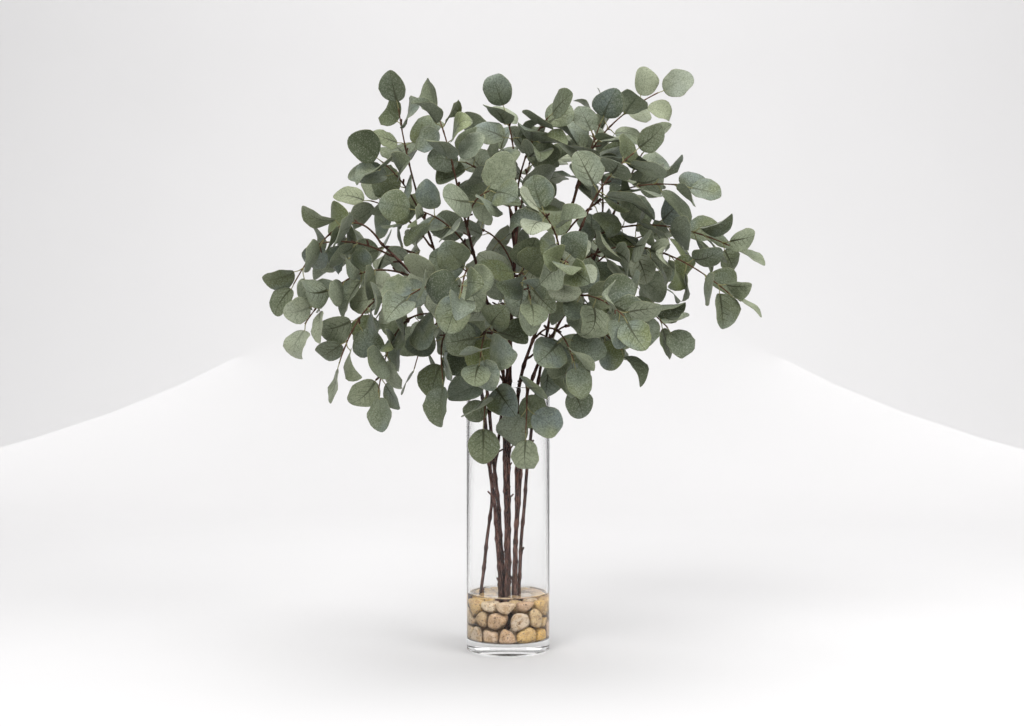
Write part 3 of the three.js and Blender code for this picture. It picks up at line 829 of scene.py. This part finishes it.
BLADE = SimpleNamespace(
    rows=12,
    columns=(-0.96, -0.72, -0.36, 0.0, 0.36, 0.72, 0.96),
    widest_at=0.46,
    half_thickness=0.0002,
    fold_softness=0.12,
    fold_narrowing=0.15,
)
STALK = SimpleNamespace(
    foot_radius=0.0011, radius=0.0007, end_radius=0.0002, sides=6, steps=5, rib_steps=5, rib_end=0.62
)


# The shares of the leaves that are pale, folded along the midrib, bent at the tip, olive, or dark-veined.
SHARES = SimpleNamespace(pale=0.14, folded=0.22, bent=0.16, olive=0.16, veined=0.45)
HABIT_SEED = 5000


def blade_habit(number):
    """How one blade curves, folds and ripples, and the tone of its colour."""
    draw = random_stream(HABIT_SEED + number)

    def between(low, high):
        return mix(low, high, draw())

    pale = draw() < SHARES.pale
    paleness = between(0.3, 0.8) if pale else 0
    folded = draw() < SHARES.folded
    bent = draw() < SHARES.bent
    return SimpleNamespace(
        fold=between(0.35, 0.75) if folded else between(-0.05, 0.18),
        cup=between(-0.12, 0.20),
        arc=between(-0.30, 0.10),
        ripple=between(0.03, 0.09),
        ripples=between(1.2, 2.4),
        phase=between(0, 2 * math.pi),
        twist=between(-0.35, 0.35),
        sway=between(-0.06, 0.06),
        bend_from=between(0.55, 0.8),
        bend=between(1.2, 2.4) if bent else between(0, 0.5),
        point=between(0.46, 0.64),
        lobe=between(-0.07, 0.07),
        wave=between(0.01, 0.045),
        waves=between(1.5, 3.5),
        tone=between(0, 1),
        pale=paleness,
        warmth=between(0.55, 1) if draw() < SHARES.olive else between(0, 0.5),
        cool=between(0, 1),
        vein_depth=between(0.6, 1) if draw() < SHARES.veined else between(0.1, 0.4),
    )


def blade_half_width(u, half_width, habit, sign):
    """Half the width of a blade at u along it, rounded at the base and a little pointed at some tips."""
    turned = u ** (math.log(0.5) / math.log(BLADE.widest_at))
    power = 0.5 if u < BLADE.widest_at else mix(0.5, habit.point, ramp(BLADE.widest_at, 1, u))
    wave = 1 + habit.wave * math.sin(2 * math.pi * habit.waves * u + habit.phase + 2 * sign)
    return half_width * (1 + sign * habit.lobe) * wave * math.sin(math.pi * turned) ** power


def blade_point(leaf, habit, u, v, height):
    """A point of a blade, with u from 0 at its base to 1 at its tip, and v from -1 to 1 across it."""
    half_width = leaf.width / 2
    sign = -1 if v < 0 else 1
    across = v * blade_half_width(u, half_width, habit, sign)
    share = across / half_width
    middle = 2 * u - 1
    fold = habit.fold * (math.sqrt(share**2 + BLADE.fold_softness**2) - BLADE.fold_softness)
    ripple = habit.ripple * share**2 * math.sin(2 * math.pi * habit.ripples * u + habit.phase + sign)
    rise = half_width * (fold + habit.cup * share**2 + habit.arc * (middle**2 - 0.5) + ripple)
    along = u * leaf.length
    beyond = max(0, u - habit.bend_from) * leaf.length
    if beyond > 0:
        curl = habit.bend * beyond / (leaf.length * (1 - habit.bend_from))
        along += beyond * (math.sin(curl) / curl - 1) if curl > TINY else 0
        rise -= beyond * (1 - math.cos(curl)) / curl if curl > TINY else 0
    across += habit.sway * leaf.length * (1 - middle**2)
    across *= 1 - BLADE.fold_narrowing * abs(habit.fold)
    turn = habit.twist * (u - 0.5)
    across, rise = (
        across * math.cos(turn) - rise * math.sin(turn),
        across * math.sin(turn) + rise * math.cos(turn),
    )
    base = leaf.root + leaf.along * LEAF.stalk
    return base + leaf.along * along + leaf.side * across + leaf.normal * (rise + height)


def leaf_looks(habit, edge):
    """The tones of a leaf, how near its edge a point is, and how dark its veins are."""
    return {
        "leaf_tint": (habit.tone, habit.warmth, habit.cool),
        "leaf_edge": (edge, habit.vein_depth, habit.pale),
    }


def leaf_values(leaf, habit, u, v, side):
    """What the leaf material needs at a point of the blade: its flat place, its side and its tone."""
    sign = -1 if v < 0 else 1
    across = v * blade_half_width(u, 1, habit, sign) if 0 < u < 1 else 0
    return {"leaf_place": (u, across, side)} | leaf_looks(habit, abs(v))


def add_blade(form, leaf, habit):
    """A thin closed blade whose two faces meet at a fine edge."""

    def add(u, v, side):
        height = side * BLADE.half_thickness
        return form.add(blade_point(leaf, habit, u, v, height), **leaf_values(leaf, habit, u, v, side))

    base = add(0, 1, 0)
    tip = add(1, 1, 0)
    faces_of_side = {1: [], -1: []}
    for i in range(1, BLADE.rows):
        u = (1 - math.cos(math.pi * i / BLADE.rows)) / 2
        left = add(u, -1, 0)
        right = add(u, 1, 0)
        for side, rows in faces_of_side.items():
            rows.append([left, *(add(u, v, side) for v in BLADE.columns), right])
    for side, rows in faces_of_side.items():
        faces = []
        for low, high in zip(rows, rows[1:]):
            faces += [(low[j], low[j + 1], high[j + 1], high[j]) for j in range(len(low) - 1)]
        faces += [(base, rows[0][j + 1], rows[0][j]) for j in range(len(rows[0]) - 1)]
        faces += [(tip, rows[-1][j], rows[-1][j + 1]) for j in range(len(rows[-1]) - 1)]
        form.faces += faces if side < 0 else [face[::-1] for face in faces]


def add_stalk(form, leaf, habit):
    """A stalk that curves out of the twig to the blade and runs on under it as its midrib."""
    start = shoot_point(leaf.curve, leaf.s)
    end = blade_point(leaf, habit, 0, 0, 0)
    leave = (leaf.along + shoot_direction(leaf.curve, leaf.s)) * LEAF.stalk
    arrive = leaf.along * LEAF.stalk
    centres = []
    radii = []
    for i in range(STALK.steps):
        share = i / STALK.steps
        centres.append(smooth_step(start, leave, end, arrive, share))
        radii.append(mix(STALK.foot_radius, STALK.radius, ramp(0, 0.5, share)))
    for i in range(STALK.rib_steps + 1):
        share = i / STALK.rib_steps
        radius = mix(STALK.radius, STALK.end_radius, share)
        depth = BLADE.half_thickness + 0.5 * radius
        centres.append(blade_point(leaf, habit, share * STALK.rib_end, 0, -depth * ramp(0, 0.2, share)))
        radii.append(radius)

    def values(ring, angle):
        share = (ring - STALK.steps) / STALK.rib_steps
        along = share * STALK.rib_end if share > 0 else -0.1
        return {"leaf_place": (along, 0, -1)} | leaf_looks(habit, 0)

    add_tube(form, centres, radii, STALK.sides, values, leaf.side)


def make_leaves(shoots):
    """One piece of foliage per shoot."""
    material = foliage_material()
    number = 0
    for shoot in shoots:
        form = Form("leaf_place", "leaf_tint", "leaf_edge")
        for leaf in shoot.leaves:
            habit = blade_habit(number)
            add_blade(form, leaf, habit)
            add_stalk(form, leaf, habit)
            number += 1
        form.piece(f"leaves_{shoot.name}", material, "foliage", f"shoot_{shoot.name}")

# ---------------------------------------------------------------- stems and twigs

WOOD = SimpleNamespace(
    slimness=0.84,
    stem_sides=20,
    stem_step=0.0045,
    wobble=0.0014,
    wobble_scale=16,
    steady_end=0.06,
    ridge=0.12,
    ridge_scales=(2.2, 22),
    lump=0.16,
    lump_scales=(0.9, 70),
    knot_every=0.036,
    knot_jitter=(0.6, 1.4),
    knot_half_length=0.0035,
    knot_swell=0.4,
    twig_sides=10,
    twig_step=0.004,
    twig_sink=0.006,
    collar=0.55,
    collar_length=0.007,
    node_swell=0.4,
    node_half_length=0.0022,
    twig_rough=0.12,
    twig_rough_scale=180,
    bud_every=0.06,
    grain_shift=0.1,
    twig_grain_shift=0.013,
)
STUB = SimpleNamespace(
    share=0.55,
    length=(0.004, 0.011),
    radius=(0.0011, 0.002),
    lean=(0.3, 1.0),
    curl=0.002,
    swells=(1.5, 1.15, 0.95, 1.0, 0.8),
    sides=8,
)
STEM_SEED = 900
TWIG_SEED = 300
WOBBLE_SEED = 17
SAMPLES_PER_GAP = 40


def swelling(distance, half_length):
    return math.exp(-((distance / half_length) ** 2))


def running_lengths(centres):
    """The length of a line up to each of its points."""
    lengths = [0.0]
    for start, end in zip(centres, centres[1:]):
        lengths.append(lengths[-1] + (end - start).length)
    return lengths


def wood_values(angle, radius, length, shift, height, twig):
    """What the bark material needs: a point's place on a straightened stem, moved by shift so that no two
    stems have the same grain, then how thick the wood is, how high it is and how much of a twig it is."""
    grain = (radius * math.cos(angle) + shift, radius * math.sin(angle), length)
    return {"grain": grain, "wood": (radius, height, twig)}


def stem_line(stem):
    """The stem's centres, its plain radii and the length up to each of them, in fine even steps."""
    waypoints = stem_waypoints(stem)
    last = len(waypoints) - 1
    samples = evenly(last * SAMPLES_PER_GAP, lambda share: path_point(waypoints, share * last))
    steps = math.ceil(running_lengths(samples)[-1] / WOOD.stem_step)
    centres = evenly(steps, lambda share: path_point(waypoints, last * share))
    radii = evenly(steps, lambda share: WOOD.slimness * stem_radius(stem, last * share))
    return centres, radii, running_lengths(centres)


def make_stem(number, stem, material):
    """A woody stem with ridges, knots and short cut stubs."""
    # Blender seeds noise_vector from the clock, so without this the stems bend differently on each run.
    noise.seed_set(WOBBLE_SEED)
    draw = random_stream(STEM_SEED + number)
    centres, plain_radii, lengths = stem_line(stem)
    knots = []
    at = WOOD.knot_every * draw()
    while at < lengths[-1] - WOOD.knot_every:
        knots.append(at)
        at += WOOD.knot_every * mix(*WOOD.knot_jitter, draw())
    shift = WOOD.grain_shift * number
    wobbled = []
    radii = []
    for centre, plain, length in zip(centres, plain_radii, lengths):
        ease = ramp(0, WOOD.steady_end, length) * ramp(0, WOOD.steady_end, lengths[-1] - length)
        sway = noise.noise_vector(Vector((shift, 3, length * WOOD.wobble_scale))) * (WOOD.wobble * ease)
        wobbled.append(centre + Vector((sway.x, sway.y, 0)))
        knot = sum(swelling(length - knot, WOOD.knot_half_length) for knot in knots)
        ring = []
        for angle in full_turn(WOOD.stem_sides):
            across, along = WOOD.ridge_scales
            ridge = noise.noise(around(angle, across) + Vector((shift, 0, length * along)))
            across, along = WOOD.lump_scales
            lump = noise.noise(around(angle, across) + Vector((0, shift, length * along)))
            ring.append(plain * (1 + WOOD.ridge * ridge + WOOD.lump * lump + WOOD.knot_swell * knot))
        radii.append(ring)
    form = Form("grain", "wood")

    def values(i, angle):
        return wood_values(angle, plain_radii[i], lengths[i], shift, wobbled[i].z, 0)

    add_tube(form, wobbled, radii, WOOD.stem_sides, values)
    for knot in knots:
        i = min(range(len(lengths)), key=lambda j: abs(lengths[j] - knot))
        if draw() < STUB.share and 0 < i < len(centres) - 1:
            add_stub(form, wobbled, plain_radii, i, draw, shift)
    form.piece(f"bark_{stem.name}", material, "bark", f"stem_{stem.name}")


def add_stub(form, centres, radii, i, draw, shift):
    """A short side twig that was cut off."""
    along = (centres[i + 1] - centres[i - 1]).normalized()
    across = around(2 * math.pi * draw(), 1)
    across = (across - along * across.dot(along)).normalized()
    length = radii[i] + mix(*STUB.length, draw())
    radius = mix(*STUB.radius, draw())
    way = (across + along * mix(*STUB.lean, draw())).normalized()
    steps = len(STUB.swells) - 1
    row = evenly(steps, lambda share: centres[i] + way * (length * share) + along * (STUB.curl * share**2))
    height = centres[i].z

    def values(ring, turn):
        return wood_values(turn, radius, height + length * ring / steps, shift, height, 0.5)

    add_tube(form, row, [radius * swell for swell in STUB.swells], STUB.sides, values)


def twig_line(shoot):
    """The twig's centres: out of the middle of its stem and along the shoot's curve to the last leaf."""
    curve = shoot.curve
    steps = math.ceil(curve.length / WOOD.twig_step)
    start = curve.centre - curve.stem_way * WOOD.twig_sink
    centres = [start, start.lerp(curve.base, 0.5)]
    return centres + evenly(steps, lambda s: shoot_point(curve, s))


def make_twigs(number, stem, shoots, material):
    """The twigs of a stem, with a collar at the stem, a swelling at each leaf, and a few buds."""
    form = Form("grain", "wood")
    for i, shoot in enumerate(shoots):
        draw = random_stream(TWIG_SEED + 10 * number + i)
        centres = twig_line(shoot)
        lengths = running_lengths(centres)
        sunk = lengths[-1] - shoot.curve.length
        nodes = [sunk + leaf.s * (lengths[-1] - sunk) for leaf in shoot.leaves]
        shift = WOOD.grain_shift * number + WOOD.twig_grain_shift * i
        radii = []
        for centre, length in zip(centres, lengths):
            plain = mix(TWIG.base_radius, TWIG.tip_radius, length / lengths[-1])
            swell = max((swelling(length - node, WOOD.node_half_length) for node in nodes), default=0)
            collar = WOOD.collar * swelling(length, WOOD.collar_length)
            rough = WOOD.twig_rough * noise.noise(Vector((shift, 7, length * WOOD.twig_rough_scale)))
            radii.append(plain * (1 + collar + WOOD.node_swell * swell + rough))

        def values(ring, angle):
            return wood_values(angle, radii[ring], lengths[ring], shift, centres[ring].z, 1)

        add_tube(form, centres, radii, WOOD.twig_sides, values)
        for _ in range(math.floor(lengths[-1] / WOOD.bud_every)):
            place = math.floor(mix(4, len(centres) - 3, draw()))
            add_stub(form, centres, radii, place, draw, shift)
    nodes = [f"shoot_{shoot.name}" for shoot in shoots]
    form.piece(f"twigs_{stem.name}", material, "bark", *nodes)


def make_wood(shoots):
    material = bark_material()
    for number, stem in enumerate(STEMS):
        make_stem(number, stem, material)
        make_twigs(number, stem, [shoot for shoot in shoots if shoot.stem is stem], material)

# ---------------------------------------------------------------- stones

STONES = SimpleNamespace(
    bottom=STONES_LOW.z,
    top=STONES_HIGH.z,
    layers=3,
    rings=((12, 0.046), (5, 0.027)),
    jitter=0.008,
    turn_jitter=0.6,
    stem_room=0.009,
    gap=0.0002,
    roundness=5,
    seed=5,
    looks_seed=7919,
    slices=36,
    stacks=22,
    stretch=(0.6, 1.9),
    size=(0.75, 1.35),
    lump=0.13,
    lump_scale=60,
    lump_level=0.3,
    pit=0.0009,
    pit_scale=300,
    fill_radius=INSIDE_RADIUS - CLEARANCE,
)


def gap_to_stem(point, stem):
    """The shortest way from a point to a stem's line among the stones."""
    foot, following = stem_waypoints(stem)[:2]
    way = (following - foot).normalized()
    gap = foot - point
    return gap - way * gap.dot(way)


def stone_seeds():
    """The middles of the stones, in rings about the stems and in layers, with none where a stem stands."""
    draw = random_stream(STONES.seed)
    layer_height = (STONES.top - STONES.bottom) / STONES.layers
    seeds = []
    for layer in range(STONES.layers):
        for count, ring_radius in STONES.rings:
            for i in range(count):
                turn_shift = STONES.turn_jitter * (draw() - 0.5)
                turn = 2 * math.pi * (i + 0.5 * layer + turn_shift) / count
                radius = ring_radius + STONES.jitter * (draw() - 0.5)
                height = STONES.bottom + layer_height * (layer + 0.5) + STONES.jitter * (draw() - 0.5)
                seeds.append(around(turn, radius, height))

    def has_room(seed):
        return all(gap_to_stem(seed, stem).length > STONES.stem_room for stem in STEMS)

    return list(filter(has_room, seeds))


def stone_grain(number):
    """The long way of a stone and how much it is stretched that way."""
    draw = random_stream(STONES.looks_seed * (number + 1))
    tilt = math.pi * draw()
    way = around(2 * math.pi * draw(), math.sin(tilt), math.cos(tilt))
    return SimpleNamespace(way=way, size=mix(*STONES.size, draw()))


def want(grain, direction):
    """How much room a stone wants in a direction, beside its neighbours."""
    return grain.size * mix(*STONES.stretch, grain.way.dot(direction) ** 2)


def stone_limits(number, seeds, grains):
    """The flat limits of a stone, as its outward direction and distance from the seed."""
    seed = seeds[number]
    limits = [(UP, STONES.top - seed.z), (-UP, seed.z - STONES.bottom)]
    for other, place in enumerate(seeds):
        if other == number:
            continue
        gap = place - seed
        outward = gap.normalized()
        own = want(grains[number], outward)
        share = own / (own + want(grains[other], outward))
        limits.append((outward, gap.length * share - STONES.gap / 2))
    for stem in STEMS:
        gap = gap_to_stem(seed, stem)
        limits.append((gap.normalized(), gap.length - stem.radius - CLEARANCE))
    return limits


def stone_reach(seed, limits, direction):
    """How far a stone reaches from its seed one way: rounded off inside all its limits and the glass."""
    flat = direction.x**2 + direction.y**2
    across = seed.x * direction.x + seed.y * direction.y
    room = STONES.fill_radius**2 - seed.x**2 - seed.y**2
    total = 0.0
    if flat > TINY:
        to_glass = (math.sqrt(across**2 + flat * room) - across) / flat
        total = to_glass**-STONES.roundness
    for outward, distance in limits:
        facing = outward.dot(direction)
        if facing > 0:
            total += (facing / distance) ** STONES.roundness
    return total ** (-1 / STONES.roundness)


def stone_tint(number):
    """How golden, how pink and how light a stone is."""
    draw = random_stream(STONES.looks_seed * (number + 100))
    kind = draw()
    gold = ramp(0.4, 0.6, kind) * mix(0.4, 1, draw())
    return gold, ramp(0.35, 0.15, kind), ramp(0.5, 1, draw()) * 0.8


def make_stone(number, seeds, grains, material):
    seed = seeds[number]
    limits = stone_limits(number, seeds, grains)
    tint = stone_tint(number)
    shift = Vector((number, 0, 0))
    form = Form("stone_tint")

    def add(tilt, turn):
        direction = around(turn, math.sin(tilt), math.cos(tilt))
        reach = stone_reach(seed, limits, direction)
        point = direction * reach
        lump = noise.noise(point * STONES.lump_scale + shift) - STONES.lump_level
        pit = noise.noise(point * STONES.pit_scale + shift)
        worn = reach * (1 + STONES.lump * min(lump, 0)) + STONES.pit * min(pit, 0)
        return form.add(seed + direction * worn, stone_tint=tint)

    tilts = [math.pi * i / STONES.stacks for i in range(STONES.stacks - 1, 0, -1)]
    rings = [[add(tilt, turn) for turn in full_turn(STONES.slices)] for tilt in tilts]
    form.skin(rings, add(math.pi, 0), add(0, 0))
    form.piece(f"stone_{number + 1:02d}", material, "stone", "river_stones")


def make_stones():
    material = stone_material()
    seeds = stone_seeds()
    grains = [stone_grain(number) for number in range(len(seeds))]
    for number in range(len(seeds)):
        make_stone(number, seeds, grains, material)

# ---------------------------------------------------------------- vase and water

GLASS = SimpleNamespace(
    sides=128,
    foot_edge=0.002,
    rim_edge=0.0018,
    inside_corner=0.004,
    hollow_radius=0.052,
    hollow_depth=0.0062,
    hollow_steps=12,
    tint=(0.992, 0.994, 0.993),
    refraction=1.5,
)
WATER = SimpleNamespace(
    overlap=0.0001,
    climb=0.0024,
    climb_width=0.0016,
    climb_steps=8,
    tint=(0.995, 0.992, 0.985),
    refraction=1.33,
)


def make_vase():
    """A straight glass cylinder with a thick base, hollow underneath, a rounded foot and a rounded rim."""
    profile = []
    for i in range(GLASS.hollow_steps + 1):
        share = i / GLASS.hollow_steps
        profile.append((share * GLASS.hollow_radius, GLASS.hollow_depth * (1 - share**2)))
    foot = (VASE_RADIUS - GLASS.foot_edge, GLASS.foot_edge)
    profile += rounded_corner(foot, GLASS.foot_edge, -90, 0)
    rim_outer = (VASE_RADIUS - GLASS.rim_edge, VASE_HEIGHT - GLASS.rim_edge)
    profile += rounded_corner(rim_outer, GLASS.rim_edge, 0, 90)
    rim_inner = (INSIDE_RADIUS + GLASS.rim_edge, VASE_HEIGHT - GLASS.rim_edge)
    profile += rounded_corner(rim_inner, GLASS.rim_edge, 90, 180)
    corner = (INSIDE_RADIUS - GLASS.inside_corner, VASE_BASE + GLASS.inside_corner)
    profile += rounded_corner(corner, GLASS.inside_corner, 0, -90)
    profile.append((0, VASE_BASE))
    material = clear_material("clear_glass", GLASS.tint, GLASS.refraction)
    return turned_piece("glass_vase", profile, GLASS.sides, material, "glass", "vase")


def make_water():
    """The water from the glass base up, reaching a little into the glass, with its edge climbing the wall."""
    radius = INSIDE_RADIUS + WATER.overlap
    bottom = VASE_BASE - WATER.overlap
    corner = (INSIDE_RADIUS - GLASS.inside_corner, VASE_BASE + GLASS.inside_corner)
    profile = [(0, bottom)]
    profile += rounded_corner(corner, GLASS.inside_corner + WATER.overlap, -90, 0)
    for i in range(WATER.climb_steps + 1):
        share = 1 - i / WATER.climb_steps
        profile.append((radius - (1 - share) * WATER.climb_width, WATER_TOP + WATER.climb * share**2))
    profile.append((0, WATER_TOP))
    material = clear_material("clear_water", WATER.tint, WATER.refraction)
    return turned_piece("water_body", profile, GLASS.sides, material, "water", "water")


# ---------------------------------------------------------------- studio

STUDIO = SimpleNamespace(
    floor_half_width=3.0,
    air_gap=0.0004,
    floor_front=-3.4,
    bend_start=1.6,
    bend_radius=1.2,
    wall_height=4.0,
    bend_steps=16,
    paper=(0.745, 0.737, 0.739),
    world=(0.98, 0.985, 1.0),
    world_light=0.1,
    world_look=0.84,
)
CAMERA = SimpleNamespace(place=Vector((0, -2.97, 0.577)), target=Vector((0.006, 0, 0.4395)), lens_mm=68.5547)

# Each soft light's place, the point it looks at, its size and its power.
MIDDLE = Vector((0, 0, 0.55))
LIGHTS = {
    "key": (Vector((-1.4, -3.2, 3.6)), MIDDLE, 2.9, 156),
    "fill": (Vector((2.9, -2.2, 2.6)), MIDDLE, 2.6, 84),
    "top": (Vector((0.2, 0.3, 3.6)), MIDDLE, 3.0, 92),
    "backdrop": (Vector((0, 1.1, 2.7)), Vector((0, 2.8, 0.9)), 1.6, 2.5),
}

# Panels beside the backdrop that light the glass's edges and aren't seen themselves.
EDGE_PANELS = {
    "edge_panel_-1": (Vector((-1.2, 2.2, 0.5)), MIDDLE, 1.0, 2.4),
    "edge_panel_1": (Vector((1.2, 2.2, 0.5)), MIDDLE, 1.0, 2.4),
}


def make_sweep():
    """A pale floor that bends up into a backdrop. A thin gap of air under the vase lets its base mirror."""
    profile = [(STUDIO.floor_front, -STUDIO.air_gap), (STUDIO.bend_start, -STUDIO.air_gap)]
    for i in range(1, STUDIO.bend_steps + 1):
        angle = math.pi / 2 * i / STUDIO.bend_steps
        depth = STUDIO.bend_start + STUDIO.bend_radius * math.sin(angle)
        profile.append((depth, STUDIO.bend_radius * (1 - math.cos(angle))))
    profile.append((profile[-1][0], STUDIO.wall_height))
    mesh = bpy.data.meshes.new("sweep")
    points = [(x, y, z) for y, z in profile for x in (-STUDIO.floor_half_width, STUDIO.floor_half_width)]
    faces = [(2 * i, 2 * i + 1, 2 * i + 3, 2 * i + 2) for i in range(len(profile) - 1)]
    mesh.from_pydata(points, [], faces)
    mesh.polygons.foreach_set("use_smooth", [True] * len(mesh.polygons))
    mesh.materials.append(studio_material("studio_paper", STUDIO.paper))
    sweep = bpy.data.objects.new("sweep", mesh)
    bpy.context.scene.collection.objects.link(sweep)
    sweep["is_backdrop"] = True


def aim(thing, place, target):
    """Puts a camera or light at a place, looking at a target."""
    thing.location = place
    thing.rotation_euler = (target - place).to_track_quat("-Z", "Y").to_euler()


def make_light(name, place, target, size, power):
    light = bpy.data.lights.new(name, "AREA")
    light.shape = "SQUARE"
    light.size = size
    light.energy = power
    thing = bpy.data.objects.new(name, light)
    bpy.context.scene.collection.objects.link(thing)
    aim(thing, place, target)
    return thing


def make_world():
    """A world that lights little but looks as pale as the paper from every side."""
    world = bpy.data.worlds.new("studio_world")
    graph = Graph(world)
    rays = graph.node("ShaderNodeLightPath").outputs
    seen = graph.math("MAXIMUM", rays["Is Camera Ray"], rays["Is Transmission Ray"])
    range_ends = {"Value": seen, "To Min": STUDIO.world_light, "To Max": STUDIO.world_look}
    strength = graph.node("ShaderNodeMapRange", range_ends).outputs["Result"]
    background = graph.nodes["Background"]
    graph.feed(background.inputs["Color"], STUDIO.world)
    graph.feed(background.inputs["Strength"], strength)
    bpy.context.scene.world = world


def make_studio():
    make_sweep()
    for name, light in LIGHTS.items():
        make_light(name, *light)
    for name, light in EDGE_PANELS.items():
        make_light(name, *light).visible_camera = False
    make_world()
    bpy.context.scene.view_settings.view_transform = "Standard"


def make_camera():
    camera = bpy.data.cameras.new("camera")
    camera.lens = CAMERA.lens_mm
    thing = bpy.data.objects.new("camera", camera)
    bpy.context.scene.collection.objects.link(thing)
    aim(thing, CAMERA.place, CAMERA.target)
    bpy.context.scene.camera = thing


# ---------------------------------------------------------------- the whole


def main():
    make_camera()
    make_studio()
    make_vase()
    make_water()
    make_stones()
    shoots = grow_shoots()
    make_wood(shoots)
    make_leaves(shoots)


main()
boxes = {"cad": CAD_BOX, "visual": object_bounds()}
{name: [list(corner) for corner in box] for name, box in boxes.items()}
